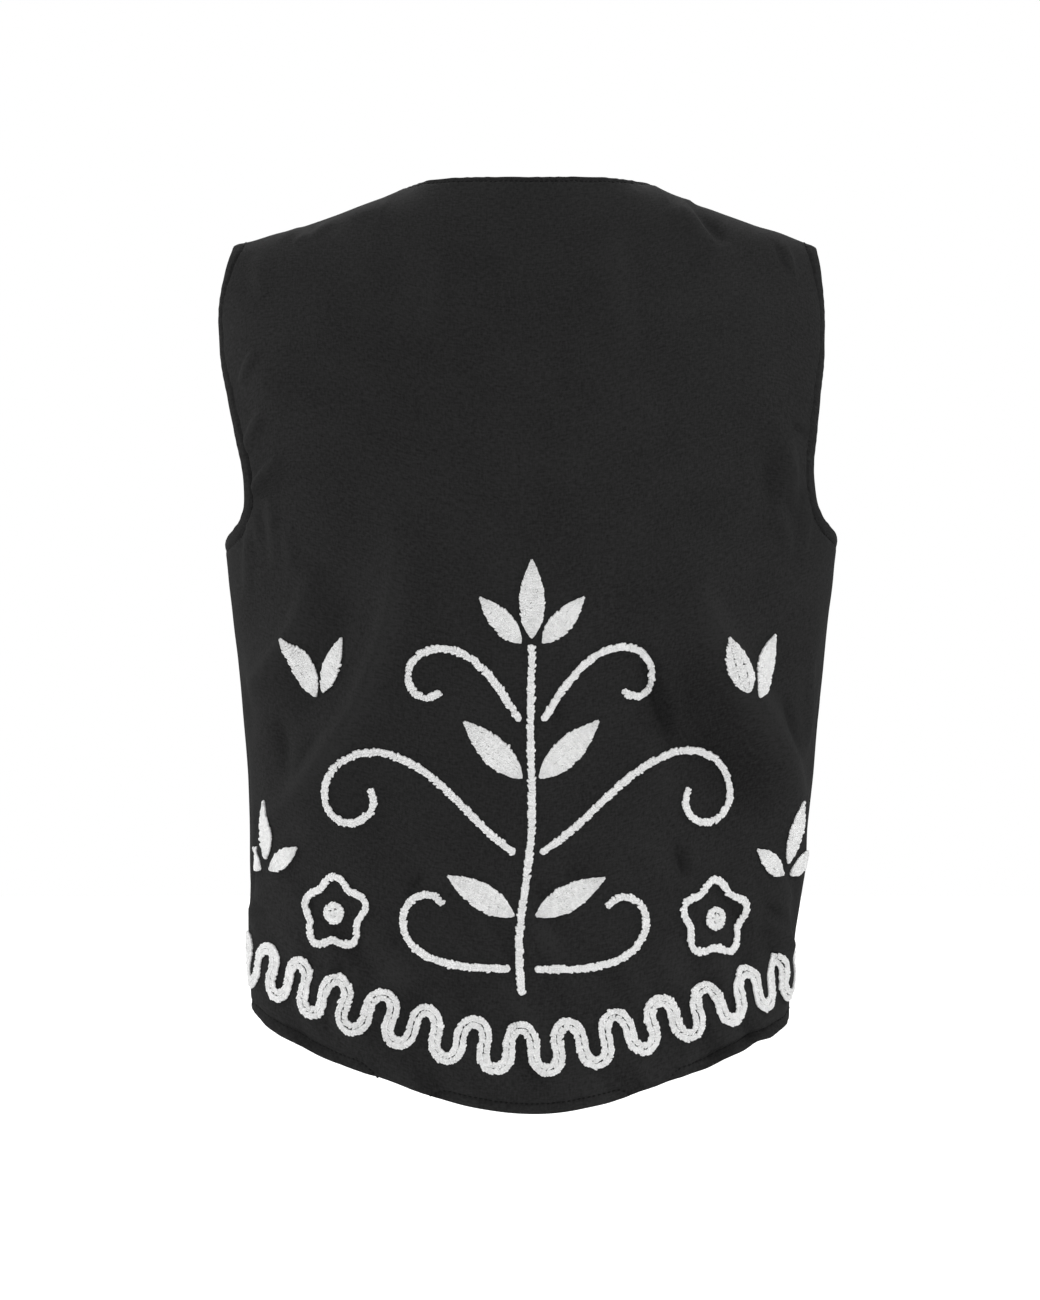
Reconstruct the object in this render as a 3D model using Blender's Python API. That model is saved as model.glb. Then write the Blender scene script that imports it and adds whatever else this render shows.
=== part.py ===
"""Sleeveless cotton gilet, worn form: a back, two fronts and white corded embroidery on the back.

Metres, +Z up. The fronts face -Y and the back faces +Y. The origin lies midway between the two neck
points, where the gilet rests on the wearer. Every panel is a hollow wall of cloth on horizontal rings
that close over the shoulders; the embroidery is laid out flat on the back as (across, height) and
then set down on its cloth.
"""
import math
from collections import namedtuple

import bmesh
import bpy
import numpy as np
from mathutils import Vector
from mathutils.bvhtree import BVHTree

CLOTH_WALL = 0.0020
SEAM_GAP = 0.0003
RING_POWER = 2.35
RING_ASPECT = 0.57

NECK_HALF = 0.075
NECK_BACK_DEPTH = 0.060
NECK_PLAN_POWER = 2.15
SHOULDER_TIP = 0.1805
SHOULDER_FALL = 0.0385
SHOULDER_EASE = 0.93
UNDERARM = -0.2195
HEM_CORNER = -0.5105

V_NECK_BOTTOM = -0.236
V_NECK_BOW = 0.90
FRONT_PARTING_TOP = 0.0050
FRONT_PARTING_HEM = 0.0120
FRONT_HEM_DROP = 0.030
FRONT_HEM_CENTRE = 0.022

SEAM_ROWS = 18
ARMHOLE_ROWS = 15
BACK_NECK_COLUMNS = 7
BACK_SHOULDER_COLUMNS = 8
FRONT_COLUMNS = 13

Section = namedtuple("Section", "height half_width back_depth front_depth")
SECTIONS = (
    Section(-0.580, 0.1652, 0.098, 0.110),
    Section(-0.510, 0.1660, 0.098, 0.112),
    Section(-0.430, 0.1705, 0.096, 0.113),
    Section(-0.350, 0.1765, 0.097, 0.117),
    Section(-0.280, 0.1828, 0.102, 0.124),
    Section(-0.220, 0.1888, 0.106, 0.125),
    Section(-0.150, 0.1895, 0.108, 0.117),
    Section(-0.080, 0.1895, 0.105, 0.104),
    Section(0.010, 0.1895, 0.100, 0.092),
)

Armhole = namedtuple("Armhole", "height back_reach front_reach")
ARMHOLE = (
    Armhole(-0.2195, 0.1888, 0.1888),
    Armhole(-0.2070, 0.1800, 0.1765),
    Armhole(-0.1950, 0.1757, 0.1710),
    Armhole(-0.1820, 0.1748, 0.1682),
    Armhole(-0.1570, 0.1780, 0.1668),
    Armhole(-0.1320, 0.1820, 0.1682),
    Armhole(-0.1080, 0.1857, 0.1718),
    Armhole(-0.0830, 0.1868, 0.1762),
    Armhole(-0.0600, 0.1845, 0.1795),
    Armhole(-0.0385, 0.1805, 0.1805),
)

BackHem = namedtuple("BackHem", "part_way height")
BACK_HEM = (
    BackHem(-0.24, -0.5576),
    BackHem(0.00, -0.5652),
    BackHem(0.24, -0.5576),
    BackHem(0.41, -0.5464),
    BackHem(0.57, -0.5358),
    BackHem(0.71, -0.5255),
    BackHem(0.89, -0.5154),
    BackHem(1.00, -0.5105),
)

Roll = namedtuple("Roll", "reach back_fall back_power front_fall front_power")
SHOULDER_ROLL = (
    Roll(0.000, 0.170, 1.80, 0.220, 1.70),
    Roll(0.045, 0.165, 2.05, 0.215, 1.85),
    Roll(0.075, 0.155, 2.60, 0.200, 2.20),
    Roll(0.120, 0.125, 2.30, 0.145, 2.10),
    Roll(0.190, 0.080, 2.00, 0.090, 2.00),
)

Hang = namedtuple("Hang", "height sway tilt")
HANG = (
    Hang(-0.580, 0.0050, 0.0043),
    Hang(-0.510, 0.0055, 0.0043),
    Hang(-0.430, 0.0026, 0.0020),
    Hang(-0.360, 0.0000, -0.0008),
    Hang(-0.220, 0.0000, -0.0028),
    Hang(-0.170, 0.0012, -0.0012),
    Hang(-0.085, 0.0052, 0.0008),
    Hang(-0.040, 0.0032, 0.0010),
    Hang(0.010, 0.0000, 0.0000),
)

Fold = namedtuple("Fold", "across_a height_a across_b height_b spread rise")
BACK_FOLDS = (
    Fold(0.088, -0.205, 0.158, -0.385, 0.012, 0.0050),
    Fold(0.124, -0.235, 0.176, -0.345, 0.011, -0.0035),
    Fold(0.160, -0.250, 0.196, -0.300, 0.010, 0.0030),
    Fold(-0.104, -0.236, -0.186, -0.385, 0.012, 0.0055),
    Fold(-0.074, -0.280, -0.136, -0.420, 0.012, -0.0045),
    Fold(-0.098, -0.028, -0.128, -0.060, 0.010, 0.0025),
    Fold(0.150, -0.140, 0.172, -0.120, 0.009, 0.0025),
    Fold(-0.158, -0.150, -0.172, -0.185, 0.009, 0.0025),
)
FRONT_FOLDS = (
    Fold(0.085, -0.230, 0.105, -0.430, 0.014, 0.0045),
    Fold(0.130, -0.240, 0.100, -0.330, 0.012, -0.0035),
    Fold(0.165, -0.260, 0.190, -0.350, 0.011, 0.0030),
    Fold(0.045, -0.330, 0.050, -0.500, 0.013, -0.0035),
)
FOLD_EDGE_FADE = 0.020

CORD_WIDTH = 0.0050
CORD_HEIGHT = 0.0026
BORDER_WIDTH = 0.0084
FILL_HEIGHT = 0.0024
EMBROIDERY_LIFT = 0.0008
CORD_STEP = 0.0052

BORDER_ABOVE_HEM = 0.0390
BORDER_SIDE_DROP = 0.0070
BORDER_WAVE = 0.0296
BORDER_SWING = math.radians(93.0)
BORDER_SIDE_STOP = 0.0060

STEM_FOOT = -0.4930
STEM_TOP = -0.2860
STEM_SWAY = 0.0030

Scroll = namedtuple("Scroll", "root_across root_height heading length first_turn last_turn")
SCROLLS = (
    Scroll(0.0075, -0.3290, 58.0, 0.122, 0.0, 104.0),
    Scroll(0.0085, -0.4090, 34.0, 0.208, -7.0, 84.0),
    Scroll(0.0085, -0.4790, 2.0, 0.112, 2.0, -98.0),
)

Leaf = namedtuple("Leaf", "across height heading length half_width")
LEAVES = (
    Leaf(0.0000, -0.2800, 90.0, 0.046, 0.0074),
    Leaf(0.0068, -0.2830, 48.0, 0.036, 0.0064),
    Leaf(0.0056, -0.3640, 44.0, 0.048, 0.0080),
    Leaf(0.0070, -0.4470, 30.0, 0.046, 0.0076),
    Leaf(0.1350, -0.3150, 62.0, 0.040, 0.0070),
    Leaf(0.1290, -0.3120, 112.0, 0.034, 0.0062),
    Leaf(0.1740, -0.4160, 84.0, 0.036, 0.0064),
    Leaf(0.1800, -0.4230, 28.0, 0.026, 0.0056),
    Leaf(0.1680, -0.4230, 146.0, 0.026, 0.0056),
)

Bloom = namedtuple("Bloom", "across height radius scallop heart petals")
BLOOM = Bloom(0.1180, -0.4480, 0.0200, 0.0026, 0.0075, 5)

CORD_PROFILE = ((-1.0, 0.0), (-0.72, 0.80), (0.0, 1.0), (0.72, 0.80), (1.0, 0.0))
FILL_PROFILE = ((-1.0, 0.0), (-0.80, 0.80), (0.0, 1.0), (0.80, 0.80), (1.0, 0.0), (0.0, 0.0))

COTTON_BLACK = (0.0150, 0.0150, 0.0165, 1.0)
YARN_WHITE = (0.7600, 0.7450, 0.7050, 1.0)


def clear_scene():
    for item in list(bpy.data.objects):
        bpy.data.objects.remove(item, do_unlink=True)


def material(name, colour, roughness):
    """One plain Principled finish."""
    finish = bpy.data.materials.new(name)
    finish.use_nodes = True
    shader = finish.node_tree.nodes["Principled BSDF"]
    shader.inputs["Base Color"].default_value = colour
    shader.inputs["Roughness"].default_value = roughness
    return finish


def curve_through(table, across, value):
    """Smooth curve through one column of a table that never overshoots its rows."""
    places = np.array([getattr(row, across) for row in table])
    values = np.array([getattr(row, value) for row in table])
    gaps = np.diff(places)
    rates = np.diff(values) / gaps
    slopes = np.empty_like(values)
    slopes[0] = rates[0]
    slopes[-1] = rates[-1]
    same_way = rates[1:] * rates[:-1] > 0.0
    mean = 2.0 * rates[1:] * rates[:-1] / np.where(same_way, rates[1:] + rates[:-1], 1.0)
    slopes[1:-1] = np.where(same_way, mean, 0.0)

    def at(place):
        place = np.clip(np.asarray(place, dtype=float), places[0], places[-1])
        k = np.clip(np.searchsorted(places, place) - 1, 0, len(gaps) - 1)
        t = (place - places[k]) / gaps[k]
        rest = 1.0 - t
        start = values[k] * (1.0 + 2.0 * t) * rest ** 2 + slopes[k] * gaps[k] * t * rest ** 2
        end = values[k + 1] * (1.0 + 2.0 * rest) * t ** 2 - slopes[k + 1] * gaps[k] * rest * t ** 2
        return start + end

    return at


half_width = curve_through(SECTIONS, "height", "half_width")
ring_depth = {
    1: curve_through(SECTIONS, "height", "back_depth"),
    -1: curve_through(SECTIONS, "height", "front_depth"),
}
armhole_reach = {
    1: curve_through(ARMHOLE, "height", "back_reach"),
    -1: curve_through(ARMHOLE, "height", "front_reach"),
}
roll_fall = {
    1: curve_through(SHOULDER_ROLL, "reach", "back_fall"),
    -1: curve_through(SHOULDER_ROLL, "reach", "front_fall"),
}
roll_power = {
    1: curve_through(SHOULDER_ROLL, "reach", "back_power"),
    -1: curve_through(SHOULDER_ROLL, "reach", "front_power"),
}
sway_at = curve_through(HANG, "height", "sway")
tilt_at = curve_through(HANG, "height", "tilt")
back_hem = curve_through(BACK_HEM, "part_way", "height")


def ring_spacing():
    """Reach along a ring of unit half width at even steps of its arc, and the arc's length."""
    turn = np.linspace(0.0, math.pi / 2.0, 900)
    reach = np.sin(turn) ** (2.0 / RING_POWER)
    depth = RING_ASPECT * np.cos(turn) ** (2.0 / RING_POWER)
    run = np.concatenate(([0.0], np.cumsum(np.hypot(np.diff(reach), np.diff(depth)))))
    return run / run[-1], reach, run[-1]


RING_RUN, RING_REACH, QUARTER_ARC = ring_spacing()


def reach_at(part_way):
    return np.interp(part_way, RING_RUN, RING_REACH)


def part_way_at(reach):
    return np.interp(reach, RING_REACH, RING_RUN)


def shoulder_height(reach):
    """Height of the shoulder ridge, level across the neck."""
    run = np.clip((np.asarray(reach) - NECK_HALF) / (SHOULDER_TIP - NECK_HALF), 0.0, None)
    return -SHOULDER_FALL * run ** SHOULDER_EASE


def neckline_depth(reach):
    """How far the back neckline stands behind the shoulder seams."""
    inside = np.clip(1.0 - (np.asarray(reach) / NECK_HALF) ** NECK_PLAN_POWER, 0.0, 1.0)
    return NECK_BACK_DEPTH * inside ** (1.0 / NECK_PLAN_POWER)


def ring_at(reach, height, side):
    """Depth of a horizontal ring, before it closes over the shoulder."""
    inside = np.clip(1.0 - (reach / half_width(height)) ** RING_POWER, 0.0, 1.0)
    return ring_depth[side](height) * inside ** (1.0 / RING_POWER)


def ridge_height(reach, side):
    """Where the cloth would close: the shoulder ridge, and above the back neckline its run inward."""
    ridge = shoulder_height(reach)
    if side == -1:
        return ridge
    power = roll_power[side](reach)
    share = neckline_depth(reach) / ring_at(reach, np.zeros_like(ridge), side)
    return ridge + roll_fall[side](reach) * (1.0 - (1.0 - share ** power) ** (1.0 / power))


def depth_at(reach, height, side):
    """Distance of the cloth behind (side 1) or before (side -1) the plane of the side seams."""
    fall = np.clip((ridge_height(reach, side) - height) / roll_fall[side](reach), 0.0, 1.0)
    power = roll_power[side](reach)
    return ring_at(reach, height, side) * (1.0 - (1.0 - fall) ** power) ** (1.0 / power)


def fold_rise(across, height, folds):
    """Sum of the soft ridges and troughs at a place on a panel."""
    total = np.zeros_like(across)
    for fold in folds:
        run_x = fold.across_b - fold.across_a
        run_z = fold.height_b - fold.height_a
        length = math.hypot(run_x, run_z)
        along = ((across - fold.across_a) * run_x + (height - fold.height_a) * run_z) / length ** 2
        off = ((across - fold.across_a) * run_z - (height - fold.height_a) * run_x) / length
        taper = np.where(np.abs(along - 0.5) < 1.0, np.cos((along - 0.5) * math.pi / 2.0) ** 2, 0.0)
        total = total + fold.rise * taper * np.exp(-0.5 * (off / fold.spread) ** 2)
    return total


def spread_evenly(x, y, z, count):
    """Heights at count + 1 even steps along a finely drawn line in space."""
    step = np.sqrt(np.diff(x) ** 2 + np.diff(y) ** 2 + np.diff(z) ** 2)
    run = np.concatenate(([0.0], np.cumsum(step)))
    return np.interp(np.linspace(0.0, run[-1], count + 1), run, z)


def side_edge(side):
    """Heights and reaches of the panel's outer edge: side seam from the hem, then the armhole."""
    seam = np.linspace(HEM_CORNER, UNDERARM, SEAM_ROWS + 1)
    dense = UNDERARM + (-SHOULDER_FALL - UNDERARM) * np.linspace(0.0, 1.0, 900) ** 2
    reach = armhole_reach[side](dense)
    depth = depth_at(reach, dense, side)
    arm = spread_evenly(reach, depth, dense, ARMHOLE_ROWS)
    heights = np.concatenate((seam, arm[1:]))
    reaches = np.concatenate((half_width(seam), armhole_reach[side](arm[1:])))
    return heights, reaches


def front_edge():
    """Heights and reaches of a front's inner edge: centre front from the hem, then the V neck."""
    foot = HEM_CORNER - FRONT_HEM_CENTRE
    centre = np.linspace(foot, V_NECK_BOTTOM, SEAM_ROWS + 1)
    closing = (V_NECK_BOTTOM - centre) / (V_NECK_BOTTOM - foot)
    centre_reach = FRONT_PARTING_TOP + (FRONT_PARTING_HEM - FRONT_PARTING_TOP) * closing
    rise = np.linspace(0.0, 1.0, ARMHOLE_ROWS + 1)[1:]
    neck_reach = FRONT_PARTING_TOP + (NECK_HALF - FRONT_PARTING_TOP) * rise ** V_NECK_BOW
    heights = np.concatenate((centre, V_NECK_BOTTOM * (1.0 - rise)))
    return heights, np.concatenate((centre_reach, neck_reach))


def back_middle():
    """Heights and reaches of the back's middle line, hem to neckline."""
    low = np.linspace(float(back_hem(0.0)), UNDERARM, SEAM_ROWS + 1)
    high = np.linspace(UNDERARM, 0.0, ARMHOLE_ROWS + 1)
    heights = np.concatenate((low, high[1:]))
    return heights, np.zeros_like(heights)


def back_top(part_way):
    """Reach of the back's top edge: round the neckline, then along the shoulder."""
    turn = np.linspace(0.0, math.pi / 2.0, 600)
    reach = NECK_HALF * np.sin(turn) ** (2.0 / NECK_PLAN_POWER)
    depth = NECK_BACK_DEPTH * np.cos(turn) ** (2.0 / NECK_PLAN_POWER)
    run = np.concatenate(([0.0], np.cumsum(np.hypot(np.diff(reach), np.diff(depth)))))
    corner = BACK_NECK_COLUMNS / (BACK_NECK_COLUMNS + BACK_SHOULDER_COLUMNS)
    neck = np.interp(np.clip(part_way / corner, 0.0, 1.0), run / run[-1], reach)
    along = np.clip((part_way - corner) / (1.0 - corner), 0.0, 1.0)
    return np.where(part_way <= corner, neck, NECK_HALF + (SHOULDER_TIP - NECK_HALF) * along)


def front_top(part_way):
    return NECK_HALF + (SHOULDER_TIP - NECK_HALF) * part_way


def front_hem(part_way):
    """A front's hem: level at the side seam, lowest part way in, a little higher at the centre."""
    inward = 1.0 - part_way
    dip = FRONT_HEM_DROP * np.sin(math.pi * np.clip(inward * 0.70, 0.0, 1.0))
    ease = (FRONT_HEM_CENTRE - FRONT_HEM_DROP * math.sin(math.pi * 0.70)) * inward ** 3
    return HEM_CORNER - dip - ease


def half_panel(side, columns):
    """Reach, depth, height and distance across of one half back or one front, as grids."""
    part_way = np.linspace(0.0, 1.0, columns + 1)[None, :]
    inner_z, inner_x = back_middle() if side == 1 else front_edge()
    outer_z, outer_x = side_edge(side)
    hem = back_hem(part_way) if side == 1 else front_hem(part_way)
    top_reach = back_top(part_way) if side == 1 else front_top(part_way)
    top = shoulder_height(top_reach)

    def climb(line):
        return ((line - line[0]) / (line[-1] - line[0]))[:, None]

    lean = part_way ** 2.5
    height = hem + (top - hem) * (climb(inner_z) * (1.0 - lean) + climb(outer_z) * lean)
    girth = half_width(height)
    inner_part = part_way_at(inner_x[:, None] / girth)
    outer_part = part_way_at(outer_x[:, None] / girth)
    ring_part = inner_part + (outer_part - inner_part) * part_way
    rows = np.arange(len(outer_z))[:, None]
    near_top = np.clip((rows - SEAM_ROWS) / ARMHOLE_ROWS, 0.0, 1.0) ** 2
    stretch = inner_x[:, None] + (outer_x - inner_x)[:, None] * (
        (top_reach - top_reach[0, 0]) / (top_reach[0, -1] - top_reach[0, 0]))
    reach = girth * reach_at(ring_part) * (1.0 - near_top) + stretch * near_top
    reach[:, 0] = inner_x
    reach[:, -1] = outer_x
    return reach, depth_at(reach, height, side), height, ring_part * girth * QUARTER_ARC


def edge_fade(height):
    """Folds die out within a short way of the shoulders."""
    return np.clip((0.0 - height) / FOLD_EDGE_FADE, 0.0, 1.0)


def hang(points):
    """Shift and tilt of the worn cloth by its height."""
    moved = points.copy()
    moved[..., 0] = points[..., 0] + sway_at(points[..., 2])
    moved[..., 2] = points[..., 2] + tilt_at(points[..., 2]) * points[..., 0] / SHOULDER_TIP
    return moved


def unit(vectors):
    return vectors / np.linalg.norm(vectors, axis=-1, keepdims=True)


def grid_normals(points, outward, seams):
    """Outward normals of a grid; those along the listed seams lie in the seam plane."""
    along_row = np.gradient(points, axis=1)
    along_column = np.gradient(points, axis=0)
    normals = unit(np.cross(along_row, along_column))
    if np.sum(normals[..., 1]) * outward < 0.0:
        normals = -normals
    for rows, columns in seams:
        normals[rows, columns, 1] = 0.0
    return unit(normals)


def back_grid():
    """Outer points and normals of the back, hem to top and side to side."""
    columns = BACK_NECK_COLUMNS + BACK_SHOULDER_COLUMNS
    reach, depth, height, across = half_panel(1, columns)
    x = np.concatenate((-reach[:, :0:-1], reach), axis=1)
    y = np.concatenate((depth[:, :0:-1], depth), axis=1) + SEAM_GAP / 2.0
    z = np.concatenate((height[:, :0:-1], height), axis=1)
    s = np.concatenate((-across[:, :0:-1], across), axis=1)
    points = np.stack((x, y, z), axis=-1)
    side = slice(0, SEAM_ROWS + 1)
    last = points.shape[0] - 1
    seams = (
        (side, 0),
        (side, 2 * columns),
        (last, slice(0, BACK_SHOULDER_COLUMNS + 1)),
        (last, slice(2 * columns - BACK_SHOULDER_COLUMNS, 2 * columns + 1)),
    )
    normals = grid_normals(points, 1.0, seams)
    quiet = np.clip(depth_at(np.abs(x), z, 1) / FOLD_EDGE_FADE, 0.0, 1.0) * edge_fade(z)
    points = points + normals * (fold_rise(s, z, BACK_FOLDS) * quiet)[..., None]
    return hang(points), normals


def front_grid(hand):
    """Outer points and normals of one front, hem to top and centre to side."""
    reach, depth, height, across = half_panel(-1, FRONT_COLUMNS)
    points = np.stack((reach, -depth - SEAM_GAP / 2.0, height), axis=-1)
    last = points.shape[0] - 1
    seams = ((slice(0, SEAM_ROWS + 1), FRONT_COLUMNS), (last, slice(0, FRONT_COLUMNS + 1)))
    normals = grid_normals(points, -1.0, seams)
    quiet = np.clip(depth / FOLD_EDGE_FADE, 0.0, 1.0) * edge_fade(height)
    points = points + normals * (fold_rise(across, height, FRONT_FOLDS) * quiet)[..., None]
    points[..., 0] *= hand
    normals[..., 0] *= hand
    return hang(points), normals


def finish_object(name, bm, finish):
    """Link a closed mesh as one smooth-shaded object."""
    bmesh.ops.recalc_face_normals(bm, faces=bm.faces[:])
    bmesh.ops.triangulate(bm, faces=bm.faces[:])
    for face in bm.faces:
        face.smooth = True
    mesh = bpy.data.meshes.new(name)
    bm.to_mesh(mesh)
    bm.free()
    mesh.materials.append(finish)
    built = bpy.data.objects.new(name, mesh)
    bpy.context.scene.collection.objects.link(built)
    return built


def cloth_panel(name, points, normals, finish):
    """A closed wall of cloth: the outer grid, the same grid one wall inside it, and the edges."""
    rows, columns = points.shape[:2]
    inside = points - normals * CLOTH_WALL
    bm = bmesh.new()
    outer = [[bm.verts.new(p) for p in row] for row in points]
    inner = [[bm.verts.new(p) for p in row] for row in inside]
    for j in range(rows - 1):
        for i in range(columns - 1):
            bm.faces.new((outer[j][i], outer[j][i + 1], outer[j + 1][i + 1], outer[j + 1][i]))
            bm.faces.new((inner[j][i], inner[j + 1][i], inner[j + 1][i + 1], inner[j][i + 1]))
    edge = [(0, i) for i in range(columns)]
    edge += [(j, columns - 1) for j in range(1, rows)]
    edge += [(rows - 1, i) for i in range(columns - 2, -1, -1)]
    edge += [(j, 0) for j in range(rows - 2, 0, -1)]
    for (j, i), (n, m) in zip(edge, edge[1:] + edge[:1]):
        bm.faces.new((outer[j][i], inner[j][i], inner[n][m], outer[n][m]))
    return finish_object(name, bm, finish)


class BackSurface:
    """The finished back as a place to lay embroidery on."""

    def __init__(self, panel):
        self.tree = BVHTree.FromPolygons(
            [v.co.copy() for v in panel.data.vertices],
            [tuple(p.vertices) for p in panel.data.polygons],
        )

    def form(self, across, height):
        """Point of the smooth form at a distance across and a height."""
        girth = half_width(height)
        reach = girth * reach_at(np.abs(across) / (girth * QUARTER_ARC))
        depth = depth_at(reach, height, 1) + SEAM_GAP / 2.0
        points = np.stack((np.sign(across) * reach, depth, height), axis=-1)
        return hang(points)

    def lay(self, flat):
        """Points on the cloth and their normals for flat (across, height) points."""
        across = flat[:, 0]
        height = flat[:, 1]
        nudge = 0.002
        run_s = self.form(across + nudge, height) - self.form(across - nudge, height)
        run_z = self.form(across, height + nudge) - self.form(across, height - nudge)
        normals = unit(np.cross(run_z, run_s))
        places = self.form(across, height)
        laid = []
        for place, normal in zip(places, normals):
            start = Vector(place + normal * 0.03)
            hit = self.tree.ray_cast(start, Vector(-normal), 0.06)[0]
            laid.append(np.array(hit))
        return np.array(laid), normals


def even_steps(path, step, closed):
    """The same flat line with evenly spaced points."""
    line = np.vstack((path, path[:1])) if closed else path
    run = np.concatenate(([0.0], np.cumsum(np.linalg.norm(np.diff(line, axis=0), axis=1))))
    count = max(3 if closed else 2, int(round(run[-1] / step)))
    marks = np.linspace(0.0, run[-1], count + 1)
    spaced = np.stack((np.interp(marks, run, line[:, 0]), np.interp(marks, run, line[:, 1])), axis=1)
    return spaced[:-1] if closed else spaced


def flat_sides(path, closed):
    """Unit sideways directions along a flat line."""
    if closed:
        ahead = np.roll(path, -1, axis=0) - np.roll(path, 1, axis=0)
    else:
        ahead = np.gradient(path, axis=0)
    ahead = unit(ahead)
    return np.stack((-ahead[:, 1], ahead[:, 0]), axis=1)


def laid_piece(name, surface, path, half_widths, height, profile, closed, finish):
    """One closed body of cord or filled stitching that follows the cloth under it."""
    sides = flat_sides(path, closed)
    rings = []
    for off, rise in profile:
        flat = path + sides * (half_widths * off)[:, None]
        places, normals = surface.lay(flat)
        rings.append(places + normals * (EMBROIDERY_LIFT + rise * height))
    bm = bmesh.new()
    sections = [[bm.verts.new(ring[k]) for ring in rings] for k in range(len(path))]
    pairs = list(zip(sections, sections[1:]))
    if closed:
        pairs.append((sections[-1], sections[0]))
    else:
        bm.faces.new(sections[0])
        bm.faces.new(sections[-1])
    for a, b in pairs:
        for k in range(len(profile)):
            n = (k + 1) % len(profile)
            bm.faces.new((a[k], a[n], b[n], b[k]))
    return finish_object(name, bm, finish)


def laid_cord(name, surface, path, width, closed, finish):
    half_widths = np.full(len(path), width / 2.0)
    return laid_piece(name, surface, path, half_widths, CORD_HEIGHT, CORD_PROFILE, closed, finish)


def laid_fill(name, surface, path, half_widths, finish):
    return laid_piece(name, surface, path, half_widths, FILL_HEIGHT, FILL_PROFILE, False, finish)


def border_path():
    """Hem border: an even meander along a line that keeps its distance from the hem."""
    girth = float(half_width(HEM_CORNER)) * QUARTER_ARC
    s = np.linspace(-girth, girth, 1201)
    part = np.abs(s) / girth
    base = np.stack((s, back_hem(part) + BORDER_ABOVE_HEM - BORDER_SIDE_DROP * part ** 2), axis=1)
    run = np.concatenate(([0.0], np.cumsum(np.linalg.norm(np.diff(base, axis=0), axis=1))))
    span = run[-1] - 2.0 * BORDER_SIDE_STOP
    waves = round(span / BORDER_WAVE - 0.5) + 0.5
    t = np.linspace(0.0, 1.0, 4001)
    swing = BORDER_SWING * np.cos(2.0 * math.pi * waves * t)
    ahead = np.cumsum(np.cos(swing))
    aside = np.cumsum(np.sin(swing))
    scale = span / (ahead[-1] - ahead[0])
    ahead = (ahead - ahead[0]) * scale + BORDER_SIDE_STOP
    aside = (aside - 0.5 * (aside.max() + aside.min())) * scale
    sides = flat_sides(base, False)
    place = np.stack((np.interp(ahead, run, base[:, 0]), np.interp(ahead, run, base[:, 1])), axis=1)
    side = np.stack((np.interp(ahead, run, sides[:, 0]), np.interp(ahead, run, sides[:, 1])), axis=1)
    return place + unit(side) * aside[:, None]


def stem_path():
    t = np.linspace(0.0, 1.0, 200)
    across = STEM_SWAY * np.sin(2.0 * math.pi * 1.5 * t) * (1.0 - t)
    return np.stack((across, STEM_FOOT + (STEM_TOP - STEM_FOOT) * t), axis=1)


def scroll_path(scroll):
    """A tendril that leaves the stem and curls tighter to its end."""
    t = np.linspace(0.0, 1.0, 400)
    turn = scroll.first_turn + (scroll.last_turn - scroll.first_turn) * t ** 1.6
    heading = math.radians(scroll.heading) - np.cumsum(turn) * scroll.length / len(t)
    step = scroll.length / len(t)
    root = np.array((scroll.root_across, scroll.root_height))
    return root + np.stack((np.cumsum(np.cos(heading)), np.cumsum(np.sin(heading))), axis=1) * step


def leaf_path(leaf):
    """A leaf's middle line and its half widths."""
    t = np.linspace(0.0, 1.0, 9)
    heading = math.radians(leaf.heading)
    line = np.stack((np.cos(heading) * t, np.sin(heading) * t), axis=1) * leaf.length
    swell = leaf.half_width * np.clip(np.sin(math.pi * t ** 0.85), 0.0, 1.0) ** 0.8
    return np.array((leaf.across, leaf.height)) + line, np.maximum(swell, 0.0008)


def bloom_edge(bloom):
    """A flower's scalloped outer line."""
    turn = np.linspace(0.0, 2.0 * math.pi, 240, endpoint=False)
    radius = bloom.radius + bloom.scallop * np.sin(bloom.petals * turn)
    spin = np.stack((np.cos(turn), np.sin(turn)), axis=1)
    return np.array((bloom.across, bloom.height)) + spin * radius[:, None]


def bloom_heart(bloom):
    """A flower's round filled heart: its middle line and half widths."""
    turn = np.linspace(0.0, math.pi, 9)
    line = np.stack((np.zeros_like(turn), -np.cos(turn) * bloom.heart), axis=1)
    return np.array((bloom.across, bloom.height)) + line, np.maximum(np.sin(turn) * bloom.heart, 0.0012)


def embroider(surface, finish):
    """All corded pieces, each mirrored about the stem where it has a pair."""
    border = even_steps(border_path(), CORD_STEP, False)
    laid_cord("hem_border", surface, border, BORDER_WIDTH, False, finish)
    stem = even_steps(stem_path(), 2.0 * CORD_STEP, False)
    laid_cord("stem", surface, stem, CORD_WIDTH, False, finish)
    crown, crown_widths = leaf_path(LEAVES[0])
    laid_fill("crown_leaf", surface, crown, crown_widths, finish)
    for hand, word in ((1.0, "left"), (-1.0, "right")):
        turn = np.array((hand, 1.0))
        for k, scroll in enumerate(SCROLLS):
            path = even_steps(scroll_path(scroll), CORD_STEP, False) * turn
            laid_cord(f"scroll_{k + 1}_{word}", surface, path, CORD_WIDTH, False, finish)
        for k, leaf in enumerate(LEAVES[1:]):
            path, widths = leaf_path(leaf)
            laid_fill(f"leaf_{k + 1}_{word}", surface, path * turn, widths, finish)
        edge = even_steps(bloom_edge(BLOOM), CORD_STEP, True) * turn
        laid_cord(f"bloom_edge_{word}", surface, edge, CORD_WIDTH, True, finish)
        heart, widths = bloom_heart(BLOOM)
        laid_fill(f"bloom_heart_{word}", surface, heart * turn, widths, finish)


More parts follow.
